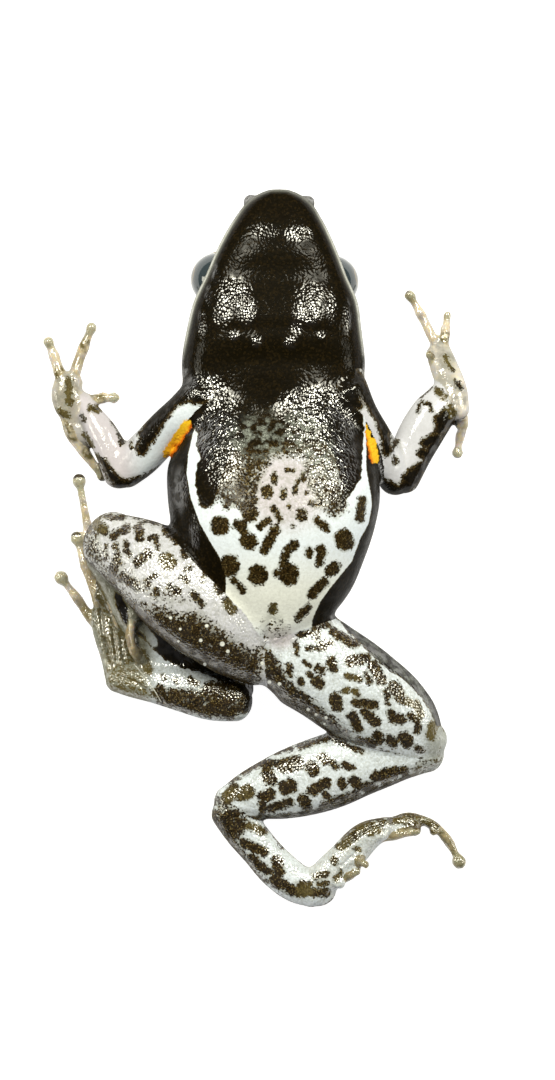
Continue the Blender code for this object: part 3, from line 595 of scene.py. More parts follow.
# Depth under the widest level over which the back's colour comes in, as shares of the half height:
# on limbs, on the body and on digits, and depth and half width of the stripe along the body's side
LIMB_BACK = (-0.05, 0.4)
BODY_BACK = (0.3, 0.5)
DIGIT_BACK = (-0.6, 0.3)
STRIPE_DEPTH = 0.62
STRIPE_WIDTH = 0.07

# Rows and columns of the photograph's pixels over which colours change: cream comes and goes on the
# belly, lilac comes in down the right arm, and the drab grey-olive, partly painted shade, leaves the
# right heel
CREAM_COMES = (540, 600)
CREAM_GOES = (615, 645)
LILAC_COMES = (150, 120)
DRAB_SHADE_GOES = (142, 160)

# How much drab grey-olive these parts take all over, partly painted shade on the right foot
DRAB_AND_SHADE = {"foot_right": 1.0, "foot_left": 0.15, "digit_foot_left": 0.3}

# Ovals on the skin: x, y and reach along X and Y in the photograph's pixels, and strength. Haze greys
# the dark chest, drab grey-olive mottles show on the left knee and on the palms, and the belly's
# middle and the vent are lilac
HAZE = ((262, 438, 42, 26, 1.0), (316, 456, 20, 44, 1.0), (290, 432, 34, 28, 1.0))
DRAB_OVALS = (
    (438, 742, 17, 34, 0.65), (424, 772, 18, 12, 0.5), (66, 396, 17, 34, 0.5), (446, 372, 11, 38, 0.35),
)
BELLY_MIDDLE = (285, 490, 60, 55)
VENT_MIDDLE = (280, 636, 24, 20)

# Ovals of coarser, glittering granules
THROAT_PATCHES = (
    (234, 294, 20, 18, 1), (222, 314, 11, 17, 0.5), (246, 310, 11, 18, 1), (308, 313, 17, 15, 1),
    (310, 294, 17, 13, 0.45), (296, 326, 9, 10, 0.7), (268, 231, 19, 9, 0.4), (298, 234, 16, 8, 0.9),
    (234, 336, 6, 6, 0.8), (257, 342, 7, 7, 0.9), (290, 343, 8, 8, 0.9), (321, 335, 4, 4, 1),
)
CHEST_PATCHES = (
    (205, 388, 26, 16, 1), (219, 437, 30, 52, 1), (318, 408, 44, 26, 1), (332, 465, 26, 50, 1),
    (346, 412, 14, 32, 1), (300, 440, 22, 30, 0.6),
)

# Ovals along the jaw and the flanks that glitter although the skin is steep there
SIDE_PATCHES = (
    (216, 276, 5, 13, 0.7), (209, 298, 5, 14, 0.7), (202, 324, 5, 17, 0.6), (331, 308, 6, 20, 0.7),
    (347, 318, 5, 20, 0.6), (181, 490, 10, 26, 0.5), (195, 532, 7, 22, 0.4),
)

# Height and size of the coarse granules, in mm
PATCHES = ((THROAT_PATCHES, 0.012, 0.2), (CHEST_PATCHES, 0.035, 0.36))

# How many granules, tints and bumps the skin's material has to a millimetre, the bumps' height and how
# deep light goes into flesh in metres, and how strongly the wet film mirrors
GRANULES_PER_MM = 9.0
TINTS_PER_MM = 15.0
BUMPS_PER_MM = 5.6
BUMP_HEIGHT = 0.00005
FLESH_DEPTH = 0.0004
FILM_IOR = 2.6

# Edges of pupil, golden ring and iris, as turns in radians from the middle of the eye
PUPIL_EDGE = (0.42, 0.48)
RING_TURN = 0.54
IRIS_EDGE = (0.7, 0.8)

# Colours as red, green and blue from 0 to 255
COLOURS = {
    "blue_white": (222, 231, 242),
    "cream_white": (240, 243, 238),
    "lilac": (198, 193, 202),
    "black": (15, 11, 3),
    "umber": (62, 48, 22),
    "gold": (158, 140, 94),
    "olive": (108, 98, 60),
    "ash": (142, 143, 130),
    "haze": (140, 146, 138),
    "cream": (218, 206, 174),
    "horn": (166, 164, 142),
    # Drab grey-olive: partly painted shade on the right foot and heel
    "drab_and_shade": (86, 82, 62),
    "flash": (250, 200, 46),
    # Red-brown of the flashes' side towards the body, partly painted shade
    "flash_red_and_shade": (200, 88, 10),
    "lip": (200, 202, 194),
    "back": (64, 54, 36),
    "back_line": (206, 186, 140),
    "limb_back": (88, 80, 56),
    # The eye's dark blue-grey: partly its own colour, partly painted sheen
    "eye": (50, 60, 66),
    "iris": (66, 68, 66),
    "ring": (140, 118, 76),
}


def linear(name):
    """A named colour as linear light, with alpha."""
    parts = [c / 255 for c in COLOURS[name]]
    return [c / 12.92 if c <= 0.04045 else ((c + 0.055) / 1.055) ** 2.4 for c in parts] + [1.0]


def at(px, py):
    """A place in the photograph as X and Y in millimetres."""
    return (px - PHOTO_ZERO[0]) * PHOTO_STEP, (PHOTO_ZERO[1] - py) * PHOTO_STEP


def to_photo(points):
    """The photograph's pixel that each point shows at."""
    across = points[:, 0] / PHOTO_STEP + PHOTO_ZERO[0]
    down = PHOTO_ZERO[1] - points[:, 1] / PHOTO_STEP
    return np.stack([across, down], axis=1)


def smooth_rows(rows, parts):
    """The rows, with each interval split in parts along a smooth curve through them."""
    table = np.array(rows, dtype=float)
    steps = np.linalg.norm(np.diff(table[:, :2], axis=0), axis=1)
    along = np.concatenate([[0.0], np.cumsum(steps)])
    slopes = np.gradient(table, along, axis=0)
    found = [table[0]]
    for i, step in enumerate(steps):
        for k in range(1, parts + 1):
            t = k / parts
            found.append(
                (2 * t**3 - 3 * t**2 + 1) * table[i]
                + (t**3 - 2 * t**2 + t) * step * slopes[i]
                + (3 * t**2 - 2 * t**3) * table[i + 1]
                + (t**3 - t**2) * step * slopes[i + 1]
            )
    return np.array(found)


def section(sides, square):
    """Points of a rounded outline one unit out, anticlockwise from the right."""
    turns = np.arange(sides) * 2 * math.pi / sides
    power = 2 / square
    across = np.sign(np.cos(turns)) * np.abs(np.cos(turns)) ** power
    up = np.sign(np.sin(turns)) * np.abs(np.sin(turns)) ** power
    return across, up


def body_rings(rows):
    """Upright sections along Y, each with its own lowest, widest and highest level."""
    across, up = section(SECTION_SIDES, BODY_SQUARE)
    rings = []
    for y, left, right, low, wide, high in smooth_rows(rows, STATION_PARTS):
        x = (left + right) / 2 + (right - left) / 2 * across
        z = wide + np.where(up > 0, high - wide, wide - low) * up
        rings.append(np.stack([x, np.full_like(x, y), z], axis=1))
    return rings


def limb_rings(rows, sides, parts, ends, square=LIMB_SQUARE):
    """Sections across a bent centreline, with rounded ends."""
    table = smooth_rows(rows, parts)
    places = [Vector(row[:3]) for row in table]
    last = len(places) - 1
    stations = []
    for i, place in enumerate(places):
        ahead = (places[min(i + 1, last)] - places[max(i - 1, 0)]).normalized()
        stations.append((place, ahead, table[i][3], table[i][4], 1.0))
    first, final = stations[0], stations[-1]
    for angle in reversed(CAP_TURNS):
        back = first[1] * (ends[0] * first[2] * math.cos(angle))
        stations.insert(0, (first[0] - back, first[1], first[2], first[3], math.sin(angle)))
        on = final[1] * (ends[1] * final[2] * math.cos(angle))
        stations.append((final[0] + on, final[1], final[2], final[3], math.sin(angle)))
    across, up = section(sides, square)
    rings = []
    for place, ahead, width, depth, scale in stations:
        side = ahead.cross(Vector((0, 0, 1))).normalized()
        above = side.cross(ahead)
        rings.append(
            np.array(place)
            + np.outer(across * width * scale, np.array(side))
            + np.outer(up * depth * scale, np.array(above))
        )
    return rings


class Clay:
    """Closed bodies that are fused into one skin."""

    def __init__(self):
        self.points = []
        self.faces = []

    def loft(self, rings):
        """A closed body through the rings, with nothing below the floor."""
        start = len(self.points)
        sides = len(rings[0])
        for ring in rings:
            self.points.extend((x, y, max(z, 0.0)) for x, y, z in ring)
        for i in range(len(rings) - 1):
            near = start + i * sides
            for k in range(sides):
                after = (k + 1) % sides
                self.faces.append((near + k, near + after, near + sides + after, near + sides + k))
        last = start + (len(rings) - 1) * sides
        self.faces.append(tuple(range(start, start + sides)))
        self.faces.append(tuple(range(last, last + sides)))

    def ball(self, centre, reach, heading=0.0):
        """An egg shape whose long side is turned by the heading, in the floor's plane."""
        rings = []
        turn = Matrix.Rotation(heading, 3, "Z")
        for k in range(1, BALL_SIDES // 2):
            angle = math.pi * k / (BALL_SIDES // 2)
            ring = []
            for j in range(BALL_SIDES):
                around = 2 * math.pi * j / BALL_SIDES
                reach_out = math.sin(angle)
                place = Vector((
                    reach[0] * reach_out * math.cos(around),
                    reach[1] * reach_out * math.sin(around),
                    reach[2] * math.cos(angle),
                ))
                ring.append(tuple(Vector(centre) + turn @ place))
            rings.append(ring)
        self.loft(rings)


def jaw_rows():
    """The lower jaw: inside the upper lip by a step, from just under the lip up to the throat."""
    rows = []
    for (y, left, right, _, lip, _), top in zip(SKULL, JAW_HEIGHTS):
        step = min(LIP_STEP, LIP_SHARE * (right - left))
        low, wide = lip - JAW_UNDER_LIP, lip + JAW_OVER_LIP
        rows.append((y, left + step, right - step, low, wide, top))
    return rows


def digit_rows(path, radius):
    """Stations of a finger or toe: thicker at each knuckle, thinnest behind the disc."""
    rows = []
    last = len(path) - 1
    for i, (x, y, lift) in enumerate(path):
        size = radius * (WAIST if i == last else KNUCKLE if i > 0 else 1.0)
        rows.append((x, y, DIGIT_LEVEL + lift, size, size))
    smooth = smooth_rows(rows, DIGIT_PARTS)
    wave = 1 - HOLLOW * np.sin(np.linspace(0, math.pi * last, len(smooth))) ** 2
    smooth[:, 3:] *= wave[:, None]
    return smooth


def add_digits(clay, name):
    """Fingers or toes with round discs at their tips."""
    full_disc = FINGER_DISC if name.startswith("hand") else TOE_DISC
    for path in DIGITS[name]:
        disc = SHORT_DISC if len(path) == 3 else full_disc
        rows = digit_rows(path, DIGIT_RADII[name])
        clay.loft(limb_rings(rows, DIGIT_SIDES, 1, DIGIT_ENDS, DIGIT_SQUARE))
        tip, before = rows[-1], rows[-3]
        heading = math.atan2(tip[1] - before[1], tip[0] - before[0])
        x = tip[0] + DISC_STEP * math.cos(heading)
        y = tip[1] + DISC_STEP * math.sin(heading)
        reach = [disc * share for share in DISC_SHAPE]
        clay.ball((x, y, tip[2] + DISC_LIFT), reach, heading)
    for px, py, z, long, wide, deep, turn in WEBS[name]:
        clay.ball((*at(px, py), z), (long, wide, deep), math.radians(turn))
    for px, py, z, size in PADS[name]:
        x, y = at(px, py)
        clay.ball((x, y, z), (size, size, 0.8 * size))


def shape_clay():
    """All the frog's flesh as closed bodies that run into each other."""
    clay = Clay()
    clay.loft(body_rings(TRUNK))
    clay.loft(body_rings(SKULL))
    clay.loft(body_rings(jaw_rows()))
    for name, rows in LIMBS.items():
        ends = ROUND_ENDS[name.rsplit("_", 1)[0]]
        clay.loft(limb_rings(rows, LIMB_SIDES, STATION_PARTS, ends))
    for name in DIGITS:
        add_digits(clay, name)
    inwards, back, down = BROW_STEP
    for x, y, z in EYES.values():
        clay.ball((x - math.copysign(inwards, x), y - back, z - down), BROW_REACH)
    for place in NOSTRILS:
        clay.ball(place, (NOSTRIL_RIM, NOSTRIL_RIM, 0.9 * NOSTRIL_RIM))
    return clay


def add_object(name, data):
    """A new object in the scene."""
    made = bpy.data.objects.new(name, data)
    bpy.context.scene.collection.objects.link(made)
    return made


def apply_modifiers(body):
    bpy.context.view_layer.update()
    evaluated = body.evaluated_get(bpy.context.evaluated_depsgraph_get())
    mesh = bpy.data.meshes.new_from_object(evaluated)
    body.modifiers.clear()
    old = body.data
    body.data = mesh
    bpy.data.meshes.remove(old)


def read(items, key, width, kind=float):
    """A property of a mesh's points or edges, one row each."""
    flat = np.empty(len(items) * width, dtype=kind)
    items.foreach_get(key, flat)
    return flat.reshape(-1, width)


def write_points(mesh, points):
    mesh.vertices.foreach_set("co", points.astype(np.float32).ravel())
    mesh.update()


def write_marks(mesh, marks):
    """Keeps each named mark in the mesh, with one number per point."""
    for name, values in marks.items():
        layer = mesh.attributes.new(name, "FLOAT", "POINT")
        layer.data.foreach_set("value", np.array(values, dtype=np.float32))


def neighbour_mean(values, edges):
    """For each point, the mean of its neighbours' values."""
    count = len(values)
    near, far = edges[:, 0], edges[:, 1]
    shares = np.bincount(near, minlength=count) + np.bincount(far, minlength=count)
    columns = []
    for column in values.T:
        total = np.bincount(near, column[far], minlength=count)
        total += np.bincount(far, column[near], minlength=count)
        columns.append(total / np.maximum(shares, 1))
    return np.stack(columns, axis=1)


def fillet(mesh):
    """Fills sharp hollows where pieces meet: a point moves only outwards along its normal. The
    body's own joints get more rounds than the hands and feet."""
    edges = read(mesh.edges, "vertices", 2, np.int32)
    points = read(mesh.vertices, "co", 3)
    low, high = BODY_JOINTS
    body = np.all((points[:, :2] > low) & (points[:, :2] < high), axis=1)
    for k in range(FILLET_ROUNDS + BODY_FILLET_ROUNDS):
        normals = read(mesh.vertices, "normal", 3)
        pull = neighbour_mean(points, edges) - points
        lift = np.clip((pull * normals).sum(axis=1), 0, None)
        if k >= FILLET_ROUNDS:
            lift *= body
        points += normals * (FILLET_SHARE * lift)[:, None]
        write_points(mesh, points)
    points += 0.5 * (neighbour_mean(points, edges) - points)
    write_points(mesh, points)


def fuse(clay):
    """The clay as one smooth closed mesh."""
    mesh = bpy.data.meshes.new("clay")
    mesh.from_pydata(clay.points, [], clay.faces)
    body = add_object("frog_skin", mesh)
    step = body.modifiers.new("fuse", "REMESH")
    step.mode = "VOXEL"
    step.voxel_size = VOXEL
    step.use_smooth_shade = True
    apply_modifiers(body)
    fillet(body.data)
    finer = body.modifiers.new("finer", "SUBSURF")
    finer.levels = finer.render_levels = 1
    apply_modifiers(body)
    return body


def segment_distance(points, a, b):
    """Distance of each point to the line from a to b, and how far along it lies, 0 to 1."""
    a, b = np.array(a, float), np.array(b, float)
    run = b - a
    share = np.clip(((points - a) @ run) / max(run @ run, 1e-9), 0, 1)
    gap = points - (a + share[:, None] * run)
    return np.linalg.norm(gap, axis=1), share


def line_distance(points, line):
    """Distance of each point to a bent line."""
    return np.min([segment_distance(points, a, b)[0] for a, b in zip(line, line[1:])], axis=0)


def area_distance(points, corners):
    """Signed distance to a many-sided area, negative inside."""
    closed = list(corners) + [corners[0]]
    distance = line_distance(points, closed)
    inside = np.zeros(len(points), dtype=bool)
    x, y = points[:, 0], points[:, 1]
    for (ax, ay), (bx, by) in zip(closed, closed[1:]):
        if ay == by:
            continue
        crosses = (ay > y) != (by > y)
        inside ^= crosses & (x < (bx - ax) * (y - ay) / (by - ay) + ax)
    return np.where(inside, -distance, distance)


def smooth_step(value, low, high):
    """0 below low, 1 above high, and a smooth rise between them."""
    share = np.clip((value - low) / (high - low), 0, 1)
    return share * share * (3 - 2 * share)


def oval_distance(photo, x, y, wide=1.0, high=1.0):
    """How far out each place is from an oval's middle: 1 on its edge, or in pixels for no reach."""
    return np.hypot((photo[:, 0] - x) / wide, (photo[:, 1] - y) / high)


def ovals_share(photo, ovals):
    """The ovals' strength well inside them, falling to 0 outside them all."""
    share = np.zeros(len(photo))
    for *oval, most in ovals:
        share = np.maximum(share, most * (1 - smooth_step(oval_distance(photo, *oval), 0.4, 1.15)))
    return share


def body_reach(points, rows):
    """How far out each point is in a trunk or head section: 1 on its surface. Also its height
    over the widest level, from -1 to 1."""
    table = smooth_rows(rows, 4)
    table = table[np.argsort(table[:, 0])]
    y = points[:, 1]
    left, right, low, wide, high = [np.interp(y, table[:, 0], table[:, k]) for k in range(1, 6)]
    across = np.abs(points[:, 0] - (left + right) / 2) / ((right - left) / 2)
    rise = points[:, 2] - wide
    up = rise / np.where(rise > 0, high - wide, wide - low)
    value = (across**BODY_SQUARE + np.abs(up) ** BODY_SQUARE) ** (1 / BODY_SQUARE)
    beyond = np.maximum(y - table[-1, 0], table[0, 0] - y)
    return value + np.clip(beyond, 0, None), up


def limb_reach(points, rows):
    """How far out each point is from a limb's middle line: 1 on its surface. Also how far along
    it lies, 0 to 1, and its height over the middle, from -1 to 1."""
    table = smooth_rows(rows, 3)
    best = np.full(len(points), 1e9)
    along = np.zeros(len(points))
    up = np.zeros(len(points))
    margin = 2.0 * table[:, 3:].max()
    near = np.all(
        (points > table[:, :3].min(axis=0) - margin) & (points < table[:, :3].max(axis=0) + margin),
        axis=1,
    )
    chosen = points[near]
    local, where, height = best[near], along[near], up[near]
    for i, (a, b) in enumerate(zip(table, table[1:])):
        distance, share = segment_distance(chosen, a[:3], b[:3])
        radius = (a[3] + a[4]) / 2 * (1 - share) + (b[3] + b[4]) / 2 * share
        value = distance / radius
        closer = value < local
        local = np.where(closer, value, local)
        where = np.where(closer, (i + share) / (len(table) - 1), where)
        middle = a[2] * (1 - share) + b[2] * share
        height = np.where(closer, (chosen[:, 2] - middle) / radius, height)
    best[near], along[near], up[near] = local, where, height
    return best, along, up


# Parts that take the markings of a group under another name
GROUPS = {"tarsus_right": "shank_right", "foot_left": "tarsus_left"}
for side in EYES:
    for part in ("upper_arm_", "forearm_", "hand_"):
        GROUPS[part + side] = "arm_" + side


def part_reaches(points):
    """Each part's name, with how far out every point is from it, how far along and how high."""
    torso, up = body_reach(points, TRUNK[1:])
    yield "torso", torso + 10 * (points[:, 1] > NECK_Y), np.zeros(len(points)), up
    head, up = body_reach(points, SKULL)
    jaw, _ = body_reach(points, jaw_rows())
    yield "head", np.minimum(head, jaw) + 10 * (points[:, 1] < NECK_Y), np.zeros(len(points)), up
    for name, rows in LIMBS.items():
        yield name, *limb_reach(points, rows)
    for name, paths in DIGITS.items():
        for path in paths:
            rows = digit_rows(path, DIGIT_CLAIM * DIGIT_RADII[name])
            yield "digit_" + name, *limb_reach(points, rows[::3])


def find_parts(points):
    """Which part each point belongs to, with its place along it and its height on it."""
    names = []
    best = np.full(len(points), 1e9)
    index = np.zeros(len(points), dtype=int)
    alongs = np.zeros(len(points))
    ups = np.zeros(len(points))
    for name, value, along, up in part_reaches(points):
        closer = value < best
        best[closer] = value[closer]
        index[closer] = len(names)
        alongs[closer] = along[closer]
        ups[closer] = up[closer]
        names.append(name)
    return Parts(names, index), alongs, ups


class Parts:
    """The part that each point belongs to."""

    def __init__(self, names, index):
        self.names = names
        self.index = index

    def chosen(self, test):
        flags = np.array([test(name) for name in self.names])
        return flags[self.index]

    def named(self, *starts):
        """Points on the parts whose names start so."""
        return self.chosen(lambda name: name.startswith(starts))

    def grouped(self, group):
        """Points that take a group's markings."""
        def belongs(name):
            plain = name.replace("digit_", "")
            return group in (plain, GROUPS.get(plain, plain))
        return self.chosen(belongs)


def granule_domes(points, size):
    """Small rounded domes set close, 0 between them and 1 on their tops."""
    found = np.empty(len(points))
    for i, (x, y, z) in enumerate(points / size):
        found[i] = noise.voronoi((x, y, z))[0][0]
    return 1 - np.clip(found / 0.75, 0, 1) ** 2


def ruffle(photo):
    """The places shifted a little along slow waves, so that no marking has a straight edge."""
    x, y = photo.T
    across = np.sin(0.61 * y + 1.3 * np.sin(0.23 * x)) + 0.7 * np.sin(0.37 * x + 0.9 * y)
    down = np.sin(0.57 * x + 1.7 * np.sin(0.19 * y)) + 0.7 * np.sin(0.83 * x - 0.41 * y)
    return photo + RUFFLE * np.stack([across, down], axis=1)


def rolls(points, parts, ups):
    """Height of the throat's folds and swellings."""
    photo = to_photo(points)
    lift = np.zeros(len(points))
    middle = (points[:, 0] - THROAT_MIDDLE) / THROAT_HALF
    window = np.clip(1 - np.abs(middle) ** 3, 0, 1) * np.clip(ups * 1.6, 0, 1)
    for y, height, width in THROAT_ROLLS:
        bend = y + THROAT_BEND * middle**2
        lift += height * np.exp(-(((photo[:, 1] - bend) * PHOTO_STEP / width) ** 2))
    for x, y, height, reach in SWELLINGS:
        distance = oval_distance(photo, x, y) * PHOTO_STEP
        lift += height * np.exp(-((distance / reach) ** 2))
    return lift * window * parts.named("head", "torso")


def carve(points, normals, parts):
    """Depth of the fine grooves."""
    photo = to_photo(points)
    lift = np.zeros(len(points))
    facing = normals[:, 2] > 0.1
    for name, line, depth, width in GROOVES:
        chosen = parts.grouped(name) & facing
        gap = line_distance(photo[chosen], line) * PHOTO_STEP
        lift[chosen] -= depth * np.exp(-((gap / width) ** 2))
    return lift


def spot_density(photo, capsules, most):
    """The mark of a set of spots: as high as most inside them, and BARE outside."""
    best = np.full(len(photo), 1e9)
    for ax, ay, bx, by, radius in capsules:
        low = np.minimum((ax, ay), (bx, by)) - radius - SPOT_FUZZ
        high = np.maximum((ax, ay), (bx, by)) + radius + SPOT_FUZZ
        near = np.all((photo > low) & (photo < high), axis=1)
        distance, _ = segment_distance(photo[near], (ax, ay), (bx, by))
        best[near] = np.minimum(best[near], distance - radius + SPOT_SHRINK)
    return np.clip(0.5 - best / SPOT_FUZZ, BARE, most)


def raise_to(dark, density, share):
    """The dark marks, raised to a density where the share is 1."""
    return np.maximum(dark, BARE + (density - BARE) * share)


def dark_marks(photo, parts, facing, ups):
    """Density of dark granules: spots, crowded zones, painted shade in the gaps by the right shank and
    toes, flanks and throat.
    """
    dark = np.full(len(photo), BARE)
    wavy = ruffle(photo)
    spotted = facing & ~parts.named("digit_foot_right")
    for name, capsules in SPOTS.items():
        chosen = parts.grouped(name) & spotted
        most = SOLID if name.startswith("arm") else FULL
        dark[chosen] = np.maximum(dark[chosen], spot_density(wavy[chosen], capsules, most))
    for name, corners, density, fade in ZONES:
        chosen = parts.grouped(name) & spotted
        share = smooth_step(-area_distance(wavy[chosen], corners), -fade / 2, fade / 2)
        dark[chosen] = raise_to(dark[chosen], density, share)
    shank = parts.grouped("shank_right")
    around = smooth_step(line_distance(wavy[shank], GAP_PATCH), 1.5, 6.0)
    dark[shank] = BARE + (dark[shank] - BARE) * around
    legs = parts.named("thigh", "shank", "tarsus_left")
    dark[legs] = raise_to(dark[legs], 0.7, smooth_step(-ups[legs], -0.5, -0.1))
    torso = parts.named("torso")
    here, depth = photo[torso], -ups[torso]
    flank = smooth_step(area_distance(here, BELLY_EDGE), -1.2, 1.2)
    flank = np.maximum(flank, smooth_step(depth, 0.1, 0.2))
    shoulder = np.maximum(flank, smooth_step(depth, -0.1, 0.0))
    flank = np.where(here[:, 1] < SHOULDER_ROW, shoulder, flank)
    dark[torso] = raise_to(dark[torso], SOLID, flank)
    dark[parts.named("head")] = SOLID
    return dark


def lip_marks(photo, parts, ups):
    """Paleness of the upper lip, which shows as a rim round the dark jaw."""
    head = parts.named("head")
    outline = smooth_rows(SKULL, 4)
    left = [(row[1], row[0]) for row in outline]
    right = [(row[2], row[0]) for row in outline]
    edge = [tuple(p) for p in to_photo(np.array(left + right[::-1]))]
    inwards = -area_distance(photo[head], edge)
    row = photo[head][:, 1]
    lip = np.zeros(len(photo))
    lip[head] = np.interp(inwards, *LIP_SHADES) * smooth_step(ups[head], -0.3, -0.15)
    lip[head] *= 1 - smooth_step(row, *LIP_ENDS)
    lip[head] *= 0.3 + 0.7 * smooth_step(row, *LIP_STARTS)
    return lip


def near_any(photo, places, reach):
    """1 at the places, falling to 0 at the reach."""
    found = np.zeros(len(photo))
    for place in places:
        away = oval_distance(photo, *place)
        found = np.maximum(found, 1 - smooth_step(away, 0.6 * reach, reach))
    return found


def flash_marks(photo, parts, facing):
    """The orange flashes, and how red and dark they turn towards the body: partly their own colour,
    partly painted shade.
    """
    flash = np.full(len(photo), BARE)
    flash_red_and_shade = np.zeros(len(photo))
    torso = parts.named("torso")
    photo = ruffle(photo)
    for name, capsules in FLASHES.items():
        low, high = FLASH_REACH[name]
        ax, ay = capsules[0][:2]
        bx, by, radius = capsules[-1][2:]
        within = (photo[:, 0] > low) & (photo[:, 0] < high) & (photo[:, 1] < by + radius)
        chosen = facing & within & (parts.grouped(name) | torso)
        here = photo[chosen]
        flash[chosen] = np.maximum(flash[chosen], spot_density(here, capsules, SOLID))
        across = np.array(Vector(FLASH_SHADE_SIDE[name]).normalized())
        offset = (here - np.array((ax + bx, ay + by)) / 2) @ across
        flash_red_and_shade[chosen] = smooth_step(offset, -0.1 * radius, 1.1 * radius)
    return flash, flash_red_and_shade


def skin_kinds(parts):
    """The numbers of SKINS, one row for each point."""
    kinds = np.zeros((len(parts.index), 6))
    for name, row in SKINS.items():
        kinds[parts.named(name)] = row
    return kinds


def pale_dots_and_highlight_marks(photo, parts, facing):
    """White dots on the thigh, and a painted highlight along the skin edge of the right heel."""
    pale_dots_and_highlight = np.full(len(photo), BARE)
    thigh = parts.named("thigh") & facing
    for px, py, radius in WHITE_DOTS:
        away = oval_distance(photo[thigh], px, py)
        pale_dots_and_highlight[thigh] = np.maximum(pale_dots_and_highlight[thigh], 0.5 - (away - radius) / DOT_FUZZ)
    # Painted highlight: a thin pale line along the skin edge of the right heel
    heel = parts.named("shank_right", "tarsus_right", "foot_right") & facing
    away = line_distance(photo[heel], HEEL_HIGHLIGHT)
    pale_dots_and_highlight[heel] = np.maximum(BARE, 0.5 - (away - HIGHLIGHT_WIDTH) / DOT_FUZZ)
    return pale_dots_and_highlight


def back_marks(parts, ups):
    """How far the back's colour reaches down each part's side."""
    body = parts.named("torso", "head")
    digit = parts.named("digit_")
    back = smooth_step(-ups, *LIMB_BACK)
    back[body] = smooth_step(-ups[body], *BODY_BACK)
    back[digit] = 0.55 * smooth_step(-ups[digit], *DIGIT_BACK)
    return back


def gold_and_edge_shade_marks(normals, parts, alongs):
    """Gold on the fingers and toes, most at their roots, and painted shade as darker gold along their
    steep sides.
    """
    toes = 1 - smooth_step(alongs, 0.3, 0.9)
    gold_and_edge_shade = np.where(parts.named("digit_foot"), toes, 0.35 - 0.3 * alongs)
    gold_and_edge_shade[parts.named("digit_foot_left")] = 0.9
    # Painted shade: the digits' steep sides turn darker gold
    side = 1 - smooth_step(normals[:, 2], 0.2, 0.75)
    return np.maximum(gold_and_edge_shade, 0.75 * side) * parts.named("digit_")


def drab_and_shade_marks(photo, parts, alongs):
    """Drab grey-olive on the right foot and heel, partly their own colour and partly painted shade, and
    drab mottles on the left knee and the palms.
    """
    heel = parts.named("tarsus_right", "shank_right")
    drab_and_shade = heel * (1 - smooth_step(photo[:, 0], *DRAB_SHADE_GOES))
    toes = parts.named("digit_foot_right")
    drab_and_shade[toes] = 1 - smooth_step(alongs[toes], 0.0, 0.45)
    for name, share in DRAB_AND_SHADE.items():
        drab_and_shade[parts.named(name)] = share
    drab_mottle = parts.named("thigh_left", "shank_left", "hand")
    drab_and_shade[drab_mottle] = ovals_share(photo[drab_mottle], DRAB_OVALS)
    return drab_and_shade


def hazy_marks(photo, parts):
    """Grey haze on the dark chest and along the dark top of the left thigh."""
    haze = ovals_share(photo, HAZE) * parts.named("torso")
    thigh = parts.named("thigh_left")
    haze[thigh] = 0.4 * smooth_step(-area_distance(photo[thigh], THIGH_LEFT_TOP), -2, 2)
    return haze


def markings(points, normals, parts, alongs, ups):
    """All that the skin's material reads, as one number per point each."""
    photo = to_photo(points)
    facing = normals[:, 2] > -0.05
    torso = parts.named("torso")
    body = parts.named("torso", "head")
    digit = parts.named("digit_")
    _, rough, grain, flesh, wet, wetter = skin_kinds(parts).T
    flash, flash_red_and_shade = flash_marks(photo, parts, facing)

    belly = torso * (1 - smooth_step(oval_distance(photo, *BELLY_MIDDLE), 0.4, 1.0))
    lilac = np.maximum(belly, 1 - smooth_step(oval_distance(photo, *VENT_MIDDLE), 0.3, 1.0))
    arm = parts.grouped("arm_right")
    lilac[arm] = smooth_step(photo[arm, 0], *LILAC_COMES)
    lilac[parts.grouped("arm_left") | parts.named("thigh_right")] = 0.6

    cream = smooth_step(photo[:, 1], *CREAM_COMES) * (1 - smooth_step(photo[:, 1], *CREAM_GOES))

    glitter = ovals_share(photo, THROAT_PATCHES + CHEST_PATCHES)
    glitter = np.maximum(glitter, body * smooth_step(-ups, -0.45, -0.2))
    sides = ovals_share(photo, SIDE_PATCHES) * body
    steep = 1 - smooth_step(normals[:, 2], 0.15, 0.65)
    wet = (wet + wetter * glitter) * (1 - 0.88 * steep)
    wet = np.maximum(wet, sides) * (1 - np.clip(2 * flash, 0, 1))
    return {
        "dark": dark_marks(photo, parts, facing, ups),
        "lip": lip_marks(photo, parts, ups),
        "back": back_marks(parts, ups),
        "stripe": body * np.exp(-(((ups + STRIPE_DEPTH) / STRIPE_WIDTH) ** 2)),
        "olive": near_any(photo, OLIVE_SPOTS, OLIVE_REACH),
        "pale_dots_and_highlight": pale_dots_and_highlight_marks(photo, parts, facing),
        "flash": flash,
        "flash_red_and_shade": flash_red_and_shade,
        "flesh": flesh,
        "disc": digit * smooth_step(alongs, 0.86, 0.95),
        "gold_and_edge_shade": gold_and_edge_shade_marks(normals, parts, alongs),
        "lilac": lilac,
        "creamy": torso * cream,
        "drab_and_shade": drab_and_shade_marks(photo, parts, alongs),
        "haze": hazy_marks(photo, parts),
        # Painted shade: the pale ground of the limbs greys towards their sides
        "painted_side_shade": 0.5 * ~(body | digit) * smooth_step(-ups, -0.85, 0.1),
        "grain": grain + 0.35 * belly,
        "rough": rough + 0.7 * glitter * (wetter > 0) + 0.6 * sides,
        "wet": wet,
    }


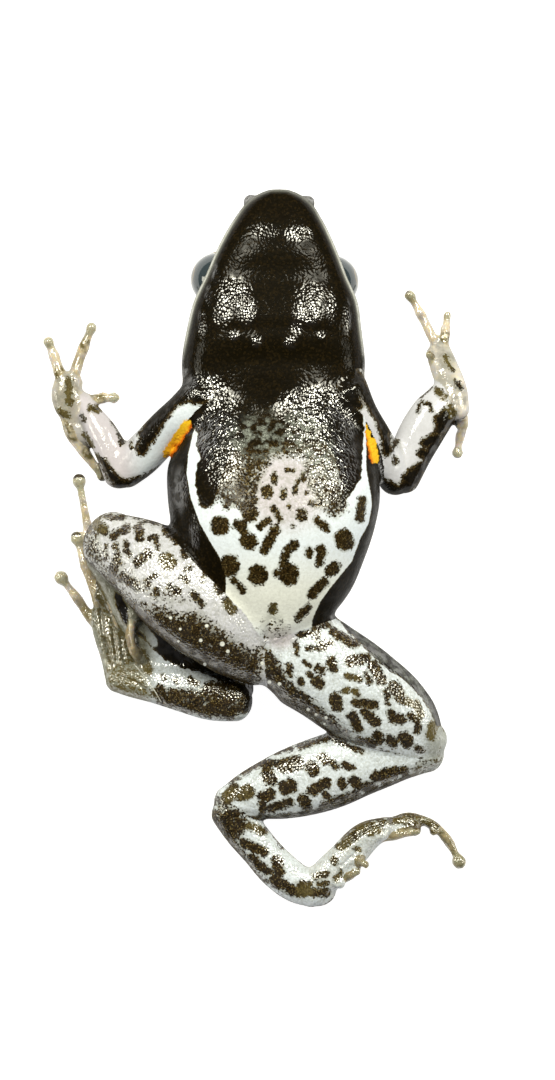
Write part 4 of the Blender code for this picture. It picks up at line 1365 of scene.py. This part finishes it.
def granules(points, parts):
    """Lift of the skin's granules, in mm."""
    photo = to_photo(points)
    lift = skin_kinds(parts)[:, 0]
    grainy = lift > 0
    lift[grainy] *= granule_domes(points[grainy], GRANULE_SIZE) - 0.5
    for ovals, height, size in PATCHES:
        share = ovals_share(photo, ovals) * parts.named("head", "torso")
        chosen = share > 0
        coarse = height * (granule_domes(points[chosen], size) - 0.5)
        lift[chosen] += share[chosen] * coarse
    return lift


def build_skin():
    """The whole skin in one piece, with its relief and its marks."""
    body = fuse(shape_clay())
    mesh = body.data
    points = read(mesh.vertices, "co", 3)
    normals = read(mesh.vertices, "normal", 3)
    parts, alongs, ups = find_parts(points)
    lift = rolls(points, parts, ups)
    lift += carve(points, normals, parts)
    lift += granules(points, parts)
    points = points + normals * lift[:, None]
    points[:, 2] = np.clip(points[:, 2], 0.0, None)
    write_marks(mesh, markings(points, normals, parts, alongs, ups))
    write_points(mesh, points * METRES)
    mesh.shade_smooth()
    return body


class Graph:
    """Short calls for a material's nodes. An input takes a socket, a number or a colour's name."""

    def __init__(self, name):
        self.material = bpy.data.materials.new(name)
        self.material.use_nodes = True
        self.tree = self.material.node_tree
        self.surface = self.tree.nodes["Principled BSDF"]

    def node(self, kind, output, inputs, **settings):
        """A new node's output."""
        made = self.tree.nodes.new("ShaderNode" + kind)
        for key, value in settings.items():
            setattr(made, key, value)
        for key, value in inputs.items():
            self.put(made.inputs[key], value)
        return made.outputs[output]

    def put(self, socket, value):
        if isinstance(value, bpy.types.NodeSocket):
            self.tree.links.new(value, socket)
        else:
            socket.default_value = linear(value) if isinstance(value, str) else value

    def millimetres(self):
        """The place on the piece, in millimetres."""
        place = self.node("TexCoord", "Object", {})
        return self.node("VectorMath", 0, {0: place, 1: (1 / METRES,) * 3}, operation="MULTIPLY")

    def mark(self, name):
        return self.node("Attribute", "Fac", {}, attribute_name=name)

    def math(self, operation, a, b=0.0):
        return self.node("Math", 0, {0: a, 1: b}, operation=operation)

    def plus(self, a, b):
        return self.math("ADD", a, b)

    def minus(self, a, b):
        return self.math("SUBTRACT", a, b)

    def times(self, a, b):
        return self.math("MULTIPLY", a, b)

    def spread(self, value, low, high, to_low=0.0, to_high=1.0):
        values = {"Value": value, "From Min": low, "From Max": high, "To Min": to_low, "To Max": to_high}
        return self.node("MapRange", "Result", values)

    def mix(self, share, a, b):
        return self.node("Mix", 2, {0: share, 6: a, 7: b}, data_type="RGBA")

    def noise(self, place, scale, detail=2.0):
        return self.node("TexNoise", "Fac", {"Vector": place, "Scale": scale, "Detail": detail})

    def cells(self, place, scale, output):
        return self.node("TexVoronoi", output, {"Vector": place, "Scale": scale})

    def chances(self, place, scale):
        """Three random numbers for each cell of a close pattern."""
        colour = self.cells(place, scale, "Color")
        return self.node("SeparateColor", 0, {"Color": colour}).node.outputs

    def set(self, **values):
        for key, value in values.items():
            self.put(self.surface.inputs[key.replace("_", " ")], value)


def skin_material():
    """Granular wet skin: pale ground, dark granules, orange flashes, translucent digits."""
    g = Graph("frog_skin")
    place = g.millimetres()
    pick = g.chances(place, GRANULES_PER_MM)
    tint = g.chances(place, TINTS_PER_MM)
    patch = g.noise(place, 3.0)
    broad = g.noise(place, 0.7)

    pale = g.mix(g.mark("lilac"), "blue_white", "lilac")
    pale = g.mix(g.mark("creamy"), pale, "cream_white")
    grey = g.times(g.mark("grain"), g.spread(g.plus(pick[1], patch), 0.7, 1.5))
    pale = g.mix(grey, pale, "ash")
    flesh = g.mix(g.spread(patch, 0.35, 0.7), "cream", "lilac")
    # Gold at the digits' roots, and painted shade in gold along their steep sides
    flesh = g.mix(g.times(g.mark("gold_and_edge_shade"), 0.75), flesh, "gold")
    flesh = g.mix(g.times(g.mark("disc"), 0.85), flesh, "horn")
    blotch = g.times(g.spread(broad, 0.5, 0.62), 0.55)
    blotch = g.math("MAXIMUM", blotch, g.times(g.mark("olive"), g.spread(patch, 0.3, 0.6)))
    flesh = g.mix(blotch, flesh, "olive")
    ground = g.mix(g.mark("flesh"), pale, flesh)
    # Drab grey-olive mottles: partly the skin's own colour, partly painted shade on the right foot and
    # heel
    drab_mottle = g.plus(g.spread(patch, 0.3, 0.7, 0.0, 0.7), g.times(tint[2], 0.6))
    ground = g.mix(g.mark("drab_and_shade"), ground, g.mix(drab_mottle, "drab_and_shade", "ash"))
    crowded = g.spread(g.mark("dark"), 0.1, 0.65, 0.0, 0.7)
    # Crowded dark granules grey the pale ground, and painted shade greys it towards the limbs' sides
    ground = g.mix(g.math("MAXIMUM", crowded, g.mark("painted_side_shade")), ground, "ash")

    shade = g.mix(g.spread(tint[0], 0.15, 1.05), "black", "umber")
    gilt = g.times(g.spread(tint[1], 0.8, 1.0), g.spread(g.mark("grain"), 0.0, 0.5, 0.2, 0.6))
    shade = g.mix(gilt, shade, "gold")
    shade = g.mix(g.times(g.mark("olive"), g.spread(tint[2], 0.0, 1.0, 0.1, 0.7)), shade, "olive")
    shade = g.mix(g.times(g.mark("drab_and_shade"), 0.7), shade, "olive")
    night = g.mix(g.spread(pick[2], 0.6, 1.0, 0.0, 0.22), "black", "umber")
    shade = g.mix(g.spread(g.mark("dark"), 1.05, SOLID), shade, night)
    cloud = g.times(g.mark("haze"), g.spread(g.noise(place, 2.2, 4.0), 0.45, 0.6))
    shade = g.mix(g.times(cloud, g.spread(tint[1], 0.0, 1.0, 0.2, 1.0)), shade, "haze")

    grit = g.spread(g.noise(place, 2.4, 4.0), 0.3, 0.7)
    threshold = g.plus(g.times(pick[0], 0.62), g.times(grit, 0.34))
    covered = g.spread(g.minus(g.mark("dark"), threshold), -0.1, 0.1)
    colour = g.mix(covered, ground, shade)
    # The flashes turn redder and darker towards the body: partly their own colour, partly painted shade
    red_and_shade_share = g.plus(g.mark("flash_red_and_shade"), g.spread(tint[0], 0.0, 1.0, -0.15, 0.25))
    lit = g.spread(g.minus(g.mark("flash"), g.times(pick[1], 0.3)), 0.2, 0.45)
    colour = g.mix(lit, colour, g.mix(red_and_shade_share, "flash", "flash_red_and_shade"))
    back = g.mix(g.spread(broad, 0.4, 0.6), "back", "limb_back")
    back = g.mix(g.spread(pick[0], 0.5, 1.0, 0.0, 0.6), back, "black")
    colour = g.mix(g.mark("back"), colour, back)
    colour = g.mix(g.times(g.mark("stripe"), 0.9), colour, "back_line")
    colour = g.mix(g.mark("lip"), colour, "lip")
    # White dots on the thighs, and the painted highlight along the right heel
    colour = g.mix(g.spread(g.mark("pale_dots_and_highlight"), 0.2, 0.8), colour, "cream_white")

    away = g.cells(place, BUMPS_PER_MM, "Distance")
    height = g.minus(g.times(g.noise(place, 14.0, 3.0), 0.12), g.times(away, away))
    height = g.times(height, g.mark("rough"))
    relief = g.node("Bump", "Normal", {"Height": height, "Strength": 0.8, "Distance": BUMP_HEIGHT})
    film = g.times(g.mark("wet"), g.spread(g.noise(place, 1.8, 3.0), 0.42, 0.56, 0.3, 1.0))
    g.set(Base_Color=colour, Roughness=0.45, Normal=relief, IOR=1.1)
    g.set(Coat_Weight=film, Coat_Roughness=0.06, Coat_IOR=FILM_IOR, Coat_Normal=relief)
    g.set(Subsurface_Weight=g.times(g.mark("flesh"), 0.5))
    g.set(Subsurface_Scale=FLESH_DEPTH, Subsurface_Radius=(1.0, 0.7, 0.5))
    return g.material


def eye_material():
    """A dark, wet eye with a horizontal pupil and a thin golden ring; its blue-grey is partly painted
    sheen.
    """
    g = Graph("frog_eye")
    turn = g.mark("turn")
    fibres = g.noise(g.millimetres(), 6.0, 4.0)
    iris = g.mix(g.spread(fibres, 0.4, 0.65), "eye", "iris")
    off_ring = g.math("ABSOLUTE", g.minus(turn, RING_TURN))
    iris = g.mix(g.minus(1.0, g.spread(off_ring, 0.0, 0.05)), iris, "ring")
    colour = g.mix(g.spread(turn, *PUPIL_EDGE), "black", iris)
    # Outside the iris, the eye's dark blue-grey, partly painted sheen
    colour = g.mix(g.spread(turn, *IRIS_EDGE), colour, "eye")
    g.set(Base_Color=colour, Roughness=0.08, IOR=1.45)
    g.set(Coat_Weight=1.0, Coat_Roughness=0.03, Coat_IOR=1.4)
    return g.material


def build_eye(side):
    """A round eyeball with its clear front a little raised, turned out to the side."""
    middle = Vector(EYES[side])
    out, ahead, up = EYE_GAZE
    gaze = Vector((math.copysign(out, middle.x), ahead, up)).normalized()
    turned = Vector((0, 0, 1)).rotation_difference(gaze).to_matrix()
    points, faces, turns = [], [], []
    for i in range(EYE_RINGS + 1):
        angle = math.pi * i / EYE_RINGS
        front = math.exp(-((angle / 0.7) ** 2))
        radius = EYE_RADIUS * (1 - CORNEA_RISE + CORNEA_RISE * front)
        for k in range(EYE_SIDES):
            around = 2 * math.pi * k / EYE_SIDES
            wide = math.sin(angle)
            spot = Vector((wide * math.cos(around), wide * math.sin(around), math.cos(angle)))
            points.append((middle + turned @ spot * radius) * METRES)
            turns.append(angle * (1 + PUPIL_STRETCH * math.sin(around) ** 2))
    for i in range(EYE_RINGS):
        for k in range(EYE_SIDES):
            after = (k + 1) % EYE_SIDES
            a, b = i * EYE_SIDES, (i + 1) * EYE_SIDES
            faces.append((a + k, b + k, b + after, a + after))
    mesh = bpy.data.meshes.new("eye")
    mesh.from_pydata(points, [], faces)
    write_marks(mesh, {"turn": turns})
    mesh.shade_smooth()
    mesh.update()
    return add_object("eyeball_" + side, mesh)


# Floor, lamps and camera, in metres: each pair of lamps by place, size and power
FLOOR_REACH = 3.0
FLOOR_DROP = 0.00002
LAMP_TINT = (1.0, 0.97, 0.81)
LAMPS = {"softbox": ((0.11, 0.15, 0.25), 0.1, 0.7), "side_lamp": ((0.3, 0.02, 0.16), 0.1, 0.25)}
SKY_LEVEL = 0.07
CAMERA_AWAY = 1.2
CAMERA_LEVEL = 0.003
SENSOR = 36.0
FRAME_MIDDLE = at(PHOTO_SIZE[0] / 2, PHOTO_SIZE[1] / 2)
FRAME_HEIGHT = PHOTO_SIZE[1] * PHOTO_STEP * METRES


def build_floor():
    """A plain white light table."""
    mesh = bpy.data.meshes.new("light_table")
    r = FLOOR_REACH
    mesh.from_pydata([(-r, -r, 0), (r, -r, 0), (r, r, 0), (-r, r, 0)], [], [(0, 1, 2, 3)])
    g = Graph("light_table")
    g.set(Base_Color=(0.35, 0.35, 0.35, 1.0), Roughness=0.9)
    g.set(Emission_Color=(1.0, 1.0, 1.0, 1.0), Emission_Strength=0.98)
    mesh.materials.append(g.material)
    floor = add_object("light_table", mesh)
    floor.location.z = -FLOOR_DROP
    floor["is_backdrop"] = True


def add_lamp(name, place, size, power):
    """A square lamp that faces the frog."""
    light = bpy.data.lights.new(name, "AREA")
    light.shape = "SQUARE"
    light.size = size
    light.energy = power
    light.color = LAMP_TINT
    lamp = add_object(name, light)
    lamp.location = place
    lamp.rotation_mode = "QUATERNION"
    lamp.rotation_quaternion = (-Vector(place)).to_track_quat("-Z", "Y")


def build_lights():
    """Two soft lamps above the head end, weak lamps low at both sides, and a dim even sky."""
    for side in (-1, 1):
        for name, ((x, y, z), size, power) in LAMPS.items():
            add_lamp(name, (side * x, y, z), size, power)
    world = bpy.data.worlds.new("studio")
    world.use_nodes = True
    tree = world.node_tree
    sky = tree.nodes["Background"]
    sky.inputs["Color"].default_value = (1.0, 1.0, 1.0, 1.0)
    ray = tree.nodes.new("ShaderNodeLightPath")
    level = tree.nodes.new("ShaderNodeMapRange")
    level.inputs["To Min"].default_value = SKY_LEVEL
    level.inputs["To Max"].default_value = 1.0
    tree.links.new(ray.outputs["Is Camera Ray"], level.inputs["Value"])
    tree.links.new(level.outputs["Result"], sky.inputs["Strength"])
    bpy.context.scene.world = world


def build_camera():
    """Straight above the frog, from far enough that the view is nearly flat."""
    data = bpy.data.cameras.new("camera")
    data.sensor_width = SENSOR
    data.lens = SENSOR * CAMERA_AWAY / FRAME_HEIGHT
    data.clip_start = 0.01
    data.clip_end = 10.0
    camera = add_object("camera", data)
    x, y = FRAME_MIDDLE
    camera.location = (x * METRES, y * METRES, CAMERA_LEVEL + CAMERA_AWAY)
    bpy.context.scene.camera = camera


skin = build_skin()
skin.data.materials.clear()
skin.data.materials.append(skin_material())
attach(skin, "root")
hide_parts("torso", "head", *LIMBS)

eye_skin = eye_material()
for side in EYES:
    eye = build_eye(side)
    eye.data.materials.append(eye_skin)
    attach(eye, "root")
    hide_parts("eye_" + side)

build_floor()
build_lights()
build_camera()
bpy.context.scene.view_settings.view_transform = "Standard"

corners = [[list(corner) for corner in box] for box in (cad_box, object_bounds())]
